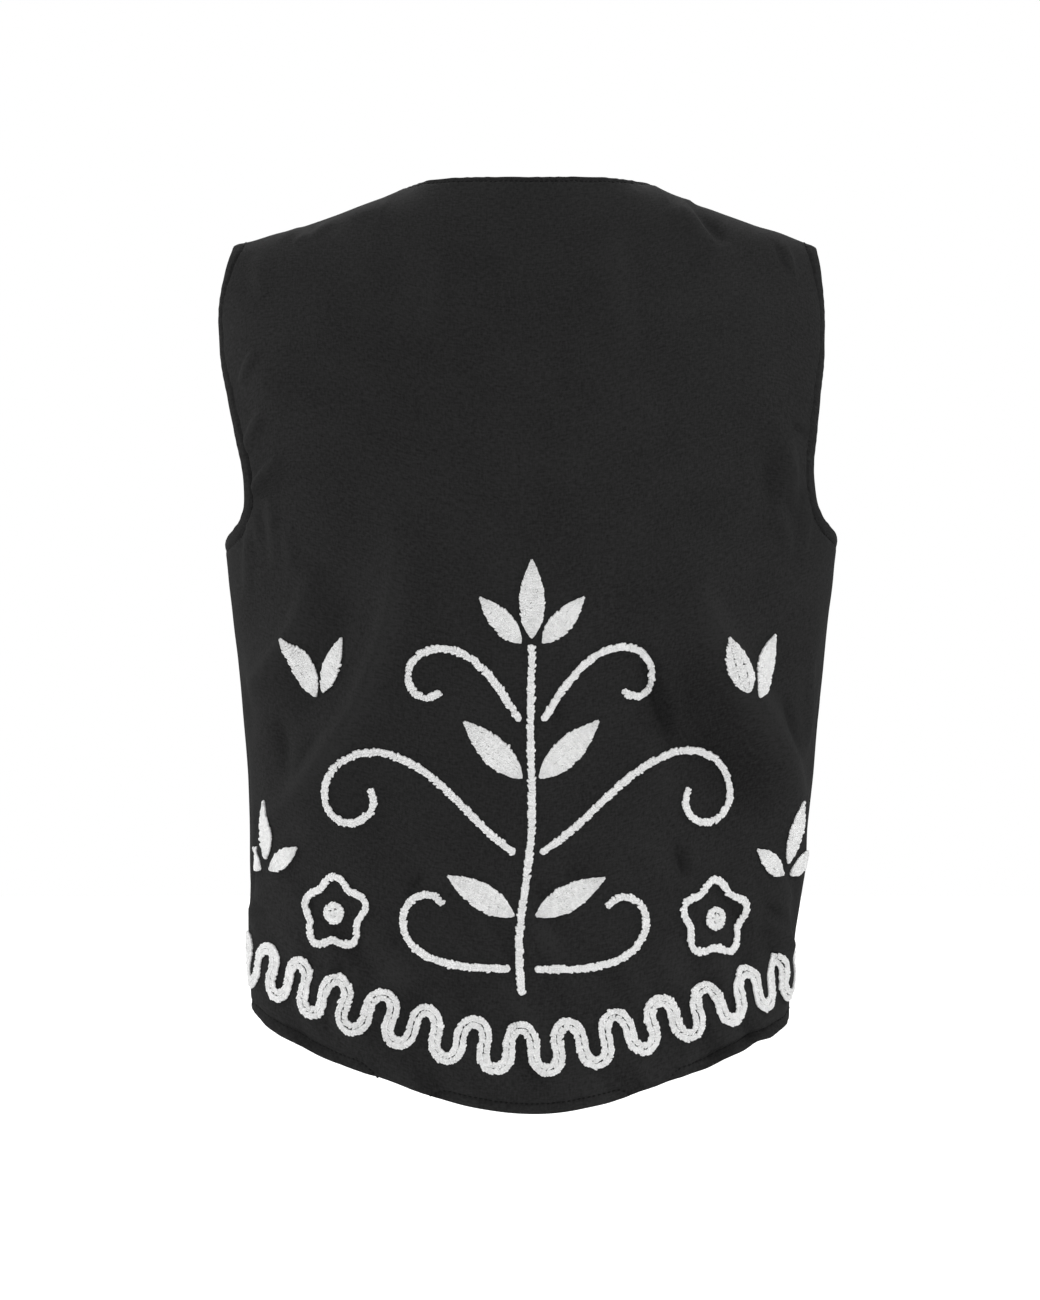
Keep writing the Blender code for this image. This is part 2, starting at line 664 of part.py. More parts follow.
def main():
    clear_scene()
    cotton = material("cotton_black", COTTON_BLACK, 0.85)
    yarn = material("yarn_white", YARN_WHITE, 0.80)
    points, normals = back_grid()
    back = cloth_panel("back", points, normals, cotton)
    for hand, word in ((1.0, "left"), (-1.0, "right")):
        points, normals = front_grid(hand)
        cloth_panel(f"front_{word}", points, normals, cotton)
    embroider(BackSurface(back), yarn)


main()
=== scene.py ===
# %% [markdown]
# # A black cotton gilet with white chain-stitch embroidery
#
# The gilet is a sleeveless waistcoat: one back, two fronts, turned edges and raised white stitching on
# the back. It is shown as it is worn, filled out and hollow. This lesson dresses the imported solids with
# thin cloth on the same form, sewn edges, chain-stitched yarn, and then light.

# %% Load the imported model
import math
from collections import namedtuple

import bmesh
import bpy
import numpy as np
from mathutils import Matrix, Vector
from mathutils.bvhtree import BVHTree


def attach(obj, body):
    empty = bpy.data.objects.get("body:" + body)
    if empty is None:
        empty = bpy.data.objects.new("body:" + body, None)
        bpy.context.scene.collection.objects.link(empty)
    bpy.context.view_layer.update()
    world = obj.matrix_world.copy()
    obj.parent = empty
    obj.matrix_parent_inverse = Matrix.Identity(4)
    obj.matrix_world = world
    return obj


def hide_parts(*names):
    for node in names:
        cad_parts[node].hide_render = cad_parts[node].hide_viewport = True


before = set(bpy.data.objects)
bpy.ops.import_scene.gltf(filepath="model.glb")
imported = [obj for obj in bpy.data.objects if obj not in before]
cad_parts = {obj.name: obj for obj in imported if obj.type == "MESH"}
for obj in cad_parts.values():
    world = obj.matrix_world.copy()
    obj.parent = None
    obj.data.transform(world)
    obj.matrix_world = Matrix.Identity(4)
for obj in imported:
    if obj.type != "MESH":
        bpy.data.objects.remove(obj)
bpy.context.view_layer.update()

# %% [markdown]
# ## Camera
#
# The view is straight at the back from about three metres, as a shop photographs a garment. A camera
# that far off with a long lens keeps the shoulders and hem in true proportion. The picture is taken to
# be 1040 by 1300 pixels, and 0.62 mm of the gilet falls on one pixel.

# %% Camera
PICTURE_HIGH = 1300
METRES_PER_PIXEL = 0.00062
CAMERA_ASIDE = 0.0062
CAMERA_AWAY = 3.0
CAMERA_HEIGHT = -0.2876
SENSOR_MM = 36.0


def put(name, data):
    """A new object in the scene."""
    thing = bpy.data.objects.new(name, data)
    bpy.context.scene.collection.objects.link(thing)
    return thing


camera_data = bpy.data.cameras.new("camera")
camera_data.sensor_fit = "VERTICAL"
camera_data.sensor_height = SENSOR_MM
camera_data.lens = SENSOR_MM * CAMERA_AWAY / (PICTURE_HIGH * METRES_PER_PIXEL)
camera = put("camera", camera_data)
camera.location = (CAMERA_ASIDE, CAMERA_AWAY, CAMERA_HEIGHT)
camera.rotation_euler = (math.pi / 2.0, 0.0, math.pi)
bpy.context.scene.camera = camera
print("lens", round(camera_data.lens, 1), "mm")

# %% [markdown]
# ## The worn form
#
# The cloth hangs on a general figure. It could be sculpted or simulated, but then it would drift away
# from the solids that carry its weight and collision. So the few tables that size the solids are
# repeated here: rings at a row of heights, the armhole's reach, the back hem, how the cloth closes over
# the shoulder, and how the worn gilet leans a little. They follow the solids to within a few millimetres,
# because soft cloth settles unevenly at the underarms, shoulders and hem.

# %% Sizes and tables of the worn form
MM = 0.001
RING_POWER = 2.35
RING_ASPECT = 0.57
NECK_HALF = 0.075
NECK_BACK_DEPTH = 0.060
NECK_PLAN_POWER = 2.15
SHOULDER_TIP = 0.1805
SHOULDER_FALL = 0.0385
SHOULDER_EASE = 0.93
UNDERARM = -0.2177
HEM_CORNER = -0.5105
V_NECK_BOTTOM = -0.236
V_NECK_BOW = 0.90
FRONT_PARTING_TOP = 0.0050
FRONT_PARTING_HEM = 0.0120
FRONT_HEM_DROP = 0.030
FRONT_HEM_CENTRE = 0.022
FRONT_HEM_TURN = 0.70 * math.pi

Section = namedtuple("Section", "height half_width back_depth front_depth")
SECTIONS = (
    Section(-0.580, 0.1652, 0.098, 0.110),
    Section(-0.510, 0.1660, 0.098, 0.112),
    Section(-0.430, 0.1705, 0.096, 0.113),
    Section(-0.350, 0.1765, 0.097, 0.117),
    Section(-0.280, 0.1828, 0.102, 0.124),
    Section(-0.240, 0.1866, 0.1048, 0.1249),
    Section(-0.220, 0.1888, 0.106, 0.125),
    Section(-0.150, 0.1895, 0.108, 0.117),
    Section(-0.080, 0.1895, 0.105, 0.104),
    Section(0.010, 0.1895, 0.100, 0.092),
)

Armhole = namedtuple("Armhole", "height back_reach front_reach")
ARMHOLE = (
    Armhole(-0.2177, 0.1888, 0.1888),
    Armhole(-0.2070, 0.1786, 0.1757),
    Armhole(-0.1950, 0.1747, 0.1706),
    Armhole(-0.1820, 0.1744, 0.1680),
    Armhole(-0.1570, 0.1780, 0.1668),
    Armhole(-0.1320, 0.1820, 0.1682),
    Armhole(-0.1080, 0.1857, 0.1718),
    Armhole(-0.0830, 0.1868, 0.1762),
    Armhole(-0.0600, 0.1845, 0.1795),
    Armhole(-0.0385, 0.1805, 0.1805),
)

BackHem = namedtuple("BackHem", "part_way height")
BACK_HEM = (
    BackHem(-0.24, -0.5576),
    BackHem(0.00, -0.5652),
    BackHem(0.24, -0.5576),
    BackHem(0.41, -0.5464),
    BackHem(0.57, -0.5358),
    BackHem(0.71, -0.5255),
    BackHem(0.89, -0.5154),
    BackHem(1.00, -0.5105),
)

Roll = namedtuple("Roll", "reach back_fall back_power front_fall front_power")
SHOULDER_ROLL = (
    Roll(0.000, 0.170, 1.80, 0.220, 1.70),
    Roll(0.045, 0.165, 2.05, 0.215, 1.85),
    Roll(0.075, 0.155, 2.60, 0.200, 2.20),
    Roll(0.120, 0.125, 2.30, 0.145, 2.10),
    Roll(0.190, 0.080, 2.00, 0.090, 2.00),
)

Hang = namedtuple("Hang", "height sway tilt")
HANG = (
    Hang(-0.580, 0.0050, 0.0043),
    Hang(-0.510, 0.0055, 0.0043),
    Hang(-0.430, 0.0026, 0.0020),
    Hang(-0.360, -0.0004, -0.0008),
    Hang(-0.220, -0.0010, -0.0010),
    Hang(-0.170, 0.0018, -0.0012),
    Hang(-0.085, 0.0052, 0.0008),
    Hang(-0.040, 0.0032, 0.0010),
    Hang(0.010, 0.0000, 0.0000),
)

Settle = namedtuple("Settle", "x lift")


def settle_rows(*pairs):
    """A settling table from pairs in millimetres: place across the gilet, and lift there."""
    return [Settle(x * MM, lift * MM) for x, lift in pairs]


SHOULDER_SETTLE = settle_rows(
    (-180, 1.4), (-160, 2.2), (-140, 0.4), (-124, 0.5), (-100, 0.6), (-78, -0.3),
    (-60, 0.6), (-45, 1.1), (0, 0.3), (45, 0.7), (58, 0.5), (76, -2.4),
    (100, -3.4), (123, -2.8), (137, -2.3), (156, -0.9), (167, -0.6), (178, 0.4),
)
HEM_SETTLE = settle_rows(
    (-159, -1), (-144, 2.4), (-130, 2.2), (-109, 0.1), (-74, 0), (-31, -1.7),
    (4, -0.7), (30, -1), (73, 0), (100, -1.5), (143, -2.1), (169, 0.9),
)
print("tables:", len(SECTIONS), "sections,", len(ARMHOLE), "armhole rows,", len(HANG), "rows of lean")


# %% Smooth curves through the tables
def curve_through(table, across, value):
    """Smooth curve through one column of a table that never overshoots its rows."""
    places = np.array([getattr(row, across) for row in table])
    values = np.array([getattr(row, value) for row in table])
    gaps = np.diff(places)
    rates = np.diff(values) / gaps
    slopes = np.concatenate((rates[:1], np.zeros(len(rates) - 1), rates[-1:]))
    same_way = rates[1:] * rates[:-1] > 0.0
    mean = 2.0 * rates[1:] * rates[:-1] / np.where(same_way, rates[1:] + rates[:-1], 1.0)
    slopes[1:-1] = np.where(same_way, mean, 0.0)

    def at(place):
        place = np.clip(np.asarray(place, dtype=float), places[0], places[-1])
        k = np.clip(np.searchsorted(places, place) - 1, 0, len(gaps) - 1)
        t = (place - places[k]) / gaps[k]
        rest = 1.0 - t
        start = values[k] * (1.0 + 2.0 * t) * rest ** 2 + slopes[k] * gaps[k] * t * rest ** 2
        end = values[k + 1] * (1.0 + 2.0 * rest) * t ** 2 - slopes[k + 1] * gaps[k] * rest * t ** 2
        return start + end

    return at


BACK = 1
FRONT = -1


def both_sides(table, across, value):
    """Smooth curves through the back and the front column of a table."""
    return {
        BACK: curve_through(table, across, f"back_{value}"),
        FRONT: curve_through(table, across, f"front_{value}"),
    }


half_width = curve_through(SECTIONS, "height", "half_width")
ring_depth = both_sides(SECTIONS, "height", "depth")
armhole_reach = both_sides(ARMHOLE, "height", "reach")
roll_fall = both_sides(SHOULDER_ROLL, "reach", "fall")
roll_power = both_sides(SHOULDER_ROLL, "reach", "power")
sway_at = curve_through(HANG, "height", "sway")
tilt_at = curve_through(HANG, "height", "tilt")
settle_at = curve_through(SHOULDER_SETTLE, "x", "lift")
hem_settle_at = curve_through(HEM_SETTLE, "x", "lift")
back_hem = curve_through(BACK_HEM, "part_way", "height")
print("chest", round(2.0 * float(half_width(UNDERARM)), 3), "m across")


# %% Lengths, bells and eased shares
def run_along(points):
    """Length run along a row of points, or up a grid of points, from nothing to the whole."""
    step = np.linalg.norm(np.diff(points, axis=0), axis=-1)
    return np.concatenate((np.zeros_like(step[:1]), np.cumsum(step, axis=0)))


def spaced_along(marks, run, values):
    """Values at marked lengths along a run."""
    return np.stack([np.interp(marks, run, column) for column in values.T], axis=1)


def bell(off, spread):
    """A bump of height 1 that fades with the distance off its middle."""
    return np.exp(-0.5 * (off / spread) ** 2)


def eased(part):
    """A share from 0 to 1 with a soft start and end."""
    return part ** 2 * (3.0 - 2.0 * part)


def unit(vectors):
    return vectors / np.maximum(np.linalg.norm(vectors, axis=-1, keepdims=True), 1e-12)


print("a bell at twice its spread:", round(float(bell(2.0, 1.0)), 3))

# %% Rings, shoulders and lean
CURVE_STEPS = 900


def superellipse_run(power, aspect):
    """Even steps along a quarter of a unit superellipse, its reach there, and the arc's length."""
    turn = np.linspace(0.0, math.pi / 2.0, CURVE_STEPS)
    reach = np.sin(turn) ** (2.0 / power)
    depth = aspect * np.cos(turn) ** (2.0 / power)
    run = run_along(np.stack((reach, depth), axis=1))
    return run / run[-1], reach, run[-1]


RING_RUN, RING_REACH, QUARTER_ARC = superellipse_run(RING_POWER, RING_ASPECT)
NECK_RUN, NECK_REACH, _ = superellipse_run(NECK_PLAN_POWER, NECK_BACK_DEPTH / NECK_HALF)


def reach_at(part_way):
    return np.interp(part_way, RING_RUN, RING_REACH)


def part_way_at(reach):
    return np.interp(reach, RING_REACH, RING_RUN)


def shoulder_height(reach):
    """Height of the shoulder ridge, level across the neck."""
    run = np.clip((np.asarray(reach) - NECK_HALF) / (SHOULDER_TIP - NECK_HALF), 0.0, None)
    return -SHOULDER_FALL * run ** SHOULDER_EASE


def ring_at(reach, height, side):
    """Depth of a horizontal ring, before it closes over the shoulder."""
    inside = np.clip(1.0 - (reach / half_width(height)) ** RING_POWER, 0.0, 1.0)
    return ring_depth[side](height) * inside ** (1.0 / RING_POWER)


def ridge_height(reach, side):
    """Where the cloth would close: the shoulder ridge, and above the back neckline its run inward."""
    ridge = shoulder_height(reach)
    if side == FRONT:
        return ridge
    inside = np.clip(1.0 - (np.asarray(reach) / NECK_HALF) ** NECK_PLAN_POWER, 0.0, 1.0)
    neckline = NECK_BACK_DEPTH * inside ** (1.0 / NECK_PLAN_POWER)
    power = roll_power[side](reach)
    share = neckline / ring_at(reach, np.zeros_like(ridge), side)
    return ridge + roll_fall[side](reach) * (1.0 - (1.0 - share ** power) ** (1.0 / power))


def depth_at(reach, height, side, ridge=None):
    """Distance of the cloth behind or before the plane of the side seams, closing at the ridge."""
    ridge = ridge_height(reach, side) if ridge is None else ridge
    fall = np.clip((ridge - height) / roll_fall[side](reach), 0.0, 1.0)
    power = roll_power[side](reach)
    return ring_at(reach, height, side) * (1.0 - (1.0 - fall) ** power) ** (1.0 / power)


SETTLE_FADE = 0.030
HEM_SETTLE_TOP = -0.525
HEM_SETTLE_FADE = 0.020


def hang(points):
    """Shift and tilt of the cloth on the wearer by its height, with shoulders and hem settled unevenly."""
    x, z = points[..., 0], points[..., 2]
    below = np.clip(shoulder_height(np.abs(x)) - z, 0.0, None)
    above = np.clip(z - HEM_SETTLE_TOP, 0.0, None)
    settled = settle_at(x) * np.exp(-below / SETTLE_FADE)
    settled = settled + hem_settle_at(x) * np.exp(-above / HEM_SETTLE_FADE)
    moved = points.copy()
    moved[..., 0] = x + sway_at(z)
    moved[..., 2] = z + tilt_at(z) * x / SHOULDER_TIP + settled
    return moved


print("half ring at the chest", round(QUARTER_ARC * float(half_width(UNDERARM)) * 2.0, 3), "m")

# %% [markdown]
# ## Cutting the panels
#
# A tailor cuts each panel between four edges: the hem, the side seam that runs on into the armhole, the
# shoulder (with the neckline on the back), and the centre front with its V on a front. A grid with those
# four edges follows the cut better than a subdivided box. The grid lines crowd together near each edge,
# because that is where cloth is turned, stitched and rounded.

# %% Grid lines
EDGE_STEPS_MM = (0, 0.3, 0.8, 1.5, 2.3, 3.1, 3.8, 4.5, 5.2, 5.9, 6.6, 7.3, 8.0, 8.7, 9.5, 10.5)
EDGE_STEPS = np.array(EDGE_STEPS_MM) * MM
BACK_CORNER = 7.0 / 15.0


def grid_lines(count, length, at_start, at_end):
    """Lines from 0 to 1 over a length: evenly spread, and closer together at the marked ends."""
    marks = EDGE_STEPS / length
    first = marks[-1] if at_start else 0.0
    last = 1.0 - (marks[-1] if at_end else 0.0)
    head = marks[:-1] if at_start else marks[:0]
    tail = 1.0 - marks[-2::-1] if at_end else marks[:0]
    return np.concatenate((head, np.linspace(first, last, count + 1), tail))


SIDE_LINES = grid_lines(count=92, length=0.32, at_start=True, at_end=True)
ARM_LINES = grid_lines(count=108, length=0.21, at_start=False, at_end=True)
FRONT_LINES = grid_lines(count=64, length=0.205, at_start=True, at_end=True)
HALF_BACK_LINES = grid_lines(count=85, length=0.215, at_start=False, at_end=True)
HALF_BACK_LINES[np.argmin(np.abs(HALF_BACK_LINES - BACK_CORNER))] = BACK_CORNER
ROW_LINES = np.concatenate((SIDE_LINES, 1.0 + ARM_LINES[1:]))
UNDERARM_ROW = len(SIDE_LINES) - 1
print("grid lines:", len(ROW_LINES), "rows,", len(HALF_BACK_LINES), "and", len(FRONT_LINES), "columns")


# %% The four edges of a panel
def outer_edge(side):
    """Heights and reaches of the side seam and, at even steps of its length, the armhole above it."""
    seam = HEM_CORNER + (UNDERARM - HEM_CORNER) * SIDE_LINES
    dense = UNDERARM + (-SHOULDER_FALL - UNDERARM) * np.linspace(0.0, 1.0, CURVE_STEPS) ** 2
    reach = armhole_reach[side](dense)
    depth = depth_at(reach, dense, side)
    run = run_along(np.stack((reach, depth, dense), axis=1))
    arm = np.interp(ARM_LINES[1:], run / run[-1], dense)
    return np.concatenate((seam, arm)), np.concatenate((half_width(seam), armhole_reach[side](arm)))


def inner_edge(side):
    """Heights and reaches of the back's middle, or of a front's centre edge and V neck."""
    rise = 1.0 - (1.0 - ARM_LINES[1:]) ** 2
    if side == BACK:
        foot = float(back_hem(0.0))
        low = foot + (UNDERARM - foot) * SIDE_LINES
        return np.concatenate((low, UNDERARM * (1.0 - rise))), np.zeros(len(ROW_LINES))
    foot = HEM_CORNER - FRONT_HEM_CENTRE
    low = foot + (V_NECK_BOTTOM - foot) * SIDE_LINES
    parting = FRONT_PARTING_HEM + (FRONT_PARTING_TOP - FRONT_PARTING_HEM) * SIDE_LINES
    neck = FRONT_PARTING_TOP + (NECK_HALF - FRONT_PARTING_TOP) * rise ** V_NECK_BOW
    return np.concatenate((low, V_NECK_BOTTOM * (1.0 - rise))), np.concatenate((parting, neck))


def hem_line(part_way, side):
    """Height of the hem part way from the middle to the side seam."""
    if side == BACK:
        return back_hem(part_way)
    inward = 1.0 - part_way
    dip = FRONT_HEM_DROP * np.sin(FRONT_HEM_TURN * inward)
    ease = (FRONT_HEM_CENTRE - FRONT_HEM_DROP * math.sin(FRONT_HEM_TURN)) * inward ** 3
    return HEM_CORNER - dip - ease


def top_line(part_way, side):
    """Reach of the top edge: round the neckline and along the shoulder, or the shoulder alone."""
    if side == FRONT:
        return NECK_HALF + (SHOULDER_TIP - NECK_HALF) * part_way
    neck = NECK_HALF * np.interp(np.clip(part_way / BACK_CORNER, 0.0, 1.0), NECK_RUN, NECK_REACH)
    along = np.clip((part_way - BACK_CORNER) / (1.0 - BACK_CORNER), 0.0, 1.0)
    return np.where(part_way <= BACK_CORNER, neck, NECK_HALF + (SHOULDER_TIP - NECK_HALF) * along)


print("back hem", round(float(hem_line(0.0, BACK)), 4), "front hem", round(float(hem_line(0.0, FRONT)), 4))


# %% Half a back, or one front, as a grid
CORNER_DROP = 0.050
CORNER_WIDTH = 0.12
CORNER_ROWS = 0.22
NECK_BLEND = 0.20
EDGE_LEAN = 2.5


def climb_share(line):
    return ((line - line[0]) / (line[-1] - line[0]))[:, None]


def half_panel(side):
    """Reach, depth, height and distance across of one half back or one front."""
    part_way = (HALF_BACK_LINES if side == BACK else FRONT_LINES)[None, :]
    inner_z, inner_x = inner_edge(side)
    outer_z, outer_x = outer_edge(side)
    hem = hem_line(part_way, side)
    top_reach = top_line(part_way, side)
    lean = part_way ** EDGE_LEAN
    share = climb_share(inner_z) * (1.0 - lean) + climb_share(outer_z) * lean
    height = hem + (shoulder_height(top_reach) - hem) * share
    inward = 1.0 - part_way
    at_underarm = np.exp(-(((ROW_LINES - 1.0) / CORNER_ROWS) ** 2))[:, None]
    height = height - CORNER_DROP * inward * np.exp(-inward / CORNER_WIDTH) * at_underarm
    girth = half_width(height)
    inner_part = part_way_at(inner_x[:, None] / girth)
    outer_part = part_way_at(outer_x[:, None] / girth)
    ring_part = inner_part + (outer_part - inner_part) * part_way
    near_top = np.clip(ROW_LINES - 1.0, 0.0, 1.0)[:, None] ** 2
    top_share = (top_reach - top_reach[0, 0]) / (top_reach[0, -1] - top_reach[0, 0])
    stretch = inner_x[:, None] + (outer_x - inner_x)[:, None] * top_share
    reach = girth * reach_at(ring_part) * (1.0 - near_top) + stretch * near_top
    reach[:, 0] = inner_x
    reach[:, -1] = outer_x
    across = part_way_at(reach / girth) * girth * QUARTER_ARC
    past_neck = top_reach - (1.0 - NECK_BLEND) * NECK_HALF
    own = near_top * np.clip(past_neck / (NECK_BLEND * NECK_HALF), 0.0, 1.0)
    ridge = ridge_height(reach, side) * (1.0 - own) + ridge_height(top_reach, side) * own
    return reach, depth_at(reach, height, side, ridge), height, across


Panel = namedtuple("Panel", "points normals across edges")
SEAM_GAP = -0.0003
FIGURE_SQUASH = np.array((1.0, 3.0, 0.0))
FIGURE_UP = np.array((0.0, 0.0, 0.05))
TURNED_IN = -0.4


def averaged(grid):
    """A grid with each value averaged over two rows and two columns on every side."""
    rows, columns = grid.shape[:2]
    padded = np.pad(grid, ((2, 2), (2, 2), (0, 0)), mode="edge")
    return sum(padded[r:r + rows, c:c + columns] for r in range(5) for c in range(5)) / 25.0


def smooth_normals(points):
    """Normals of a grid of points, facing away from the middle of the figure, with strays evened out."""
    normals = unit(np.cross(np.gradient(points, axis=1), np.gradient(points, axis=0)))
    normals = normals * np.sign(np.sum(normals[..., 1] * points[..., 1]))
    away = unit(points * FIGURE_SQUASH + FIGURE_UP)
    inward = np.sum(normals * away, axis=-1, keepdims=True) < TURNED_IN
    return unit(averaged(np.where(inward, -normals, normals)))


def mirrored(half, sign):
    """A half grid with its mirror image before it."""
    return np.concatenate((sign * half[..., :0:-1], half), axis=-1)


def back_panel():
    """The whole back: the half grid with its mirror image beside it."""
    reach, depth, height, across = half_panel(BACK)
    depth = mirrored(depth, 1.0) + SEAM_GAP / 2.0
    points = np.stack((mirrored(reach, -1.0), depth, mirrored(height, 1.0)), axis=-1)
    columns = mirrored(HALF_BACK_LINES, -1.0)
    edges = {
        "hem": [points[0]],
        "armhole": [points[UNDERARM_ROW:, 0], points[UNDERARM_ROW:, -1]],
        "side_seam": [points[:UNDERARM_ROW + 1, 0], points[:UNDERARM_ROW + 1, -1]],
        "shoulder_seam": [points[-1, columns <= -BACK_CORNER], points[-1, columns >= BACK_CORNER]],
        "neck": [points[-1, np.abs(columns) <= BACK_CORNER]],
    }
    return Panel(points, smooth_normals(points), mirrored(across, -1.0), edges)


def front_panel():
    """One front, on the wearer's left; the right one mirrors it."""
    reach, depth, height, across = half_panel(FRONT)
    points = np.stack((reach, -depth - SEAM_GAP / 2.0, height), axis=-1)
    edges = {
        "hem": [points[0]],
        "armhole": [points[UNDERARM_ROW:, -1]],
        "side_seam": [points[:UNDERARM_ROW + 1, -1]],
        "shoulder_seam": [points[-1]],
        "front": [points[:, 0]],
    }
    return Panel(points, smooth_normals(points), across, edges)


back_form = back_panel()
front_form = front_panel()
print("back grid", back_form.points.shape[:2], "front grid", front_form.points.shape[:2])

# %% [markdown]
# ## Creases
#
# Worn cotton creases where it is pulled: long soft ridges fall from the shoulder blades to the sides,
# short sharp drags leave the armholes, and small puckers gather near the stitching. A simulation would
# put them at random, so each main crease has a row of its own. The broad ones are straight, and lie where
# the solids have them or up to two centimetres further in, under the narrow folds. A narrow fold bends, so
# it is a smooth line through a few points, with a width and a rise; a trough has a rise below zero. Both
# tables are in millimetres: across from the middle along the cloth, and height below the neck points.

# %% Broad creases
Crease = namedtuple("Crease", "across_a height_a across_b height_b spread rise")
BACK_CREASES = (
    Crease(72, -205, 136, -375, 12, 5),
    Crease(108, -235, 158, -345, 11, -3.5),
    Crease(142, -250, 176, -300, 10, 3),
    Crease(-94, -236, -176, -385, 12, 5.5),
    Crease(-62, -280, -122, -420, 12, -4.5),
    Crease(-98, -28, -128, -60, 10, 2.5),
    Crease(150, -140, 172, -120, 9, 2.5),
    Crease(-158, -150, -172, -185, 9, 2.5),
)
FRONT_CREASES = (
    Crease(85, -230, 105, -430, 14, 4.5),
    Crease(130, -240, 100, -330, 12, -3.5),
    Crease(165, -260, 190, -350, 11, 3),
    Crease(45, -330, 50, -500, 13, -3.5),
)


def crease_rise(across, height, creases):
    """Sum of the broad ridges and troughs at each place on a panel."""
    total = np.zeros_like(across)
    for row in creases:
        crease = Crease(*(size * MM for size in row))
        run_x = crease.across_b - crease.across_a
        run_z = crease.height_b - crease.height_a
        length = math.hypot(run_x, run_z)
        from_x = across - crease.across_a
        from_z = height - crease.height_a
        along = (from_x * run_x + from_z * run_z) / length ** 2 - 0.5
        off = (from_x * run_z - from_z * run_x) / length
        taper = np.where(np.abs(along) < 1.0, np.cos(along * math.pi / 2.0) ** 2, 0.0)
        total = total + crease.rise * taper * bell(off, crease.spread)
    return total


print("broad creases:", len(BACK_CREASES), "on the back,", len(FRONT_CREASES), "on each front")

# %% Narrow folds
Fold = namedtuple("Fold", "spread rise path")
BACK_FOLDS = (
    Fold(4.8, 6.8, ((79, -210), (91, -285), (128, -353), (182, -395))),
    Fold(2.8, -2.4, ((129, -331), (140, -349), (148, -364))),
    Fold(4.8, 6, ((137, -237), (141, -261), (155, -284), (198, -312))),
    Fold(4, -3, ((163, -325), (156, -365))),
    Fold(3.36, 3.2, ((182, -200), (194, -252))),
    Fold(6.4, 8.6, ((-98, -246), (-118, -287), (-146, -332), (-181, -382))),
    Fold(12, -6.4, ((-89, -280), (-120, -342), (-149, -398))),
    Fold(3.2, -2.8, ((-158, -312), (-174, -350))),
    Fold(3.2, 3, ((-192, -291), (-190, -350))),
    Fold(3.68, -6.4, ((-67, -282), (-77, -313), (-90, -346))),
    Fold(5.6, 2.8, ((-66, -330), (-84, -378))),
    Fold(2.24, 5.2, ((183, -191), (155, -170))),
    Fold(2.56, 4, ((186, -165), (166, -141))),
    Fold(2.56, 3.6, ((187, -127), (169, -105))),
    Fold(2.24, 2.4, ((179, -201), (176, -228))),
    Fold(2.72, 3.2, ((167, -193), (162, -237))),
    Fold(3.2, 2, ((156, -209), (150, -242))),
    Fold(1.76, -2.2, ((-168, -151), (-184, -159))),
    Fold(3.68, 5.2, ((-164, -159), (-165, -181), (-167, -205))),
    Fold(3.36, -2.8, ((-150, -166), (-151, -205))),
    Fold(3.84, 4, ((-154, -199), (-165, -231))),
    Fold(2.88, 3.2, ((-180, -195), (-175, -234))),
    Fold(3.84, -4.4, ((-100, -12), (-112, -27), (-124, -40))),
    Fold(4.8, 4, ((-92, -13), (-112, -42))),
    Fold(2.08, 2.4, ((-104, -53), (-117, -49), (-129, -41))),
    Fold(2.08, -1.6, ((-158, -35), (-172, -60))),
    Fold(2.08, 2, ((-165, -36), (-180, -64))),
    Fold(2.4, 2.2, ((135, -36), (116, -21))),
    Fold(2.4, 1.8, ((158, -37), (141, -26))),
    Fold(2.08, 1.4, ((146, -39), (136, -31))),
    Fold(4, 2, ((176, -46), (165, -74))),
    Fold(4, 2, ((113, -25), (88, -12))),
    Fold(2.08, -1.8, ((-14, -310), (-16, -334))),
    Fold(2.08, -1.4, ((-18, -274), (-16, -298))),
    Fold(2.56, 2.8, ((-162, -421), (-185, -441))),
    Fold(2.56, 2.8, ((-157, -459), (-178, -471))),
    Fold(2.72, 3.2, ((-97, -545), (-105, -528))),
    Fold(2.4, -4.4, ((-96, -541.5), (-124, -529.7), (-160, -518), (-196, -510.5))),
    Fold(2.24, -2.8, ((196, -510), (155, -519.2), (124.5, -529.5), (96, -542))),
    Fold(2.08, -3.3, ((208, -444), (187, -448), (170, -453))),
    Fold(2.24, -3.3, ((73, -439), (68, -428), (60, -419))),
    Fold(2.08, -2.7, ((111, -476), (115, -490))),
    Fold(2.08, -3, ((90, -496), (80, -506))),
    Fold(2.08, -2.1, ((84, -462), (69, -460))),
    Fold(2.08, 2.4, ((107, -494), (95, -475))),
    Fold(2.24, 2.1, ((77, -493), (61, -481))),
    Fold(2.4, -3.3, ((-89, -403), (-98, -424))),
    Fold(2.72, 2.7, ((-98, -403), (-106, -421))),
    Fold(2.24, -3, ((-153, -438), (-179, -453))),
    Fold(2.4, -3.6, ((-149, -452), (-162, -463), (-177, -481))),
    Fold(2.4, 3.6, ((-154, -446), (-173, -459), (-191, -473))),
    Fold(3.2, -2.7, ((-113, -482), (-122, -498))),
    Fold(2.4, 2.4, ((-123, -497), (-128, -480))),
    Fold(1.92, -1.8, ((-79, -454), (-94, -457))),
    Fold(2.24, -2.4, ((-134, -482), (-145, -470))),
    Fold(1.92, -1.8, ((-22, -423), (-36, -418))),
    Fold(2.08, -1.8, ((36, -492), (18, -488))),
    Fold(4.4, 2.4, ((60, -470), (94, -500))),
    Fold(4.4, -2, ((50, -482), (80, -512))),
    Fold(5.6, 4.4, ((-168, -428), (-196, -506))),
    Fold(4.4, 3.2, ((206, -444), (178, -462))),
    Fold(5.6, -3.6, ((190, -380), (204, -440))),
    Fold(7.2, 2.4, ((52, -20), (70, -110))),
    Fold(7.2, 2.4, ((-50, -18), (-62, -120))),
)
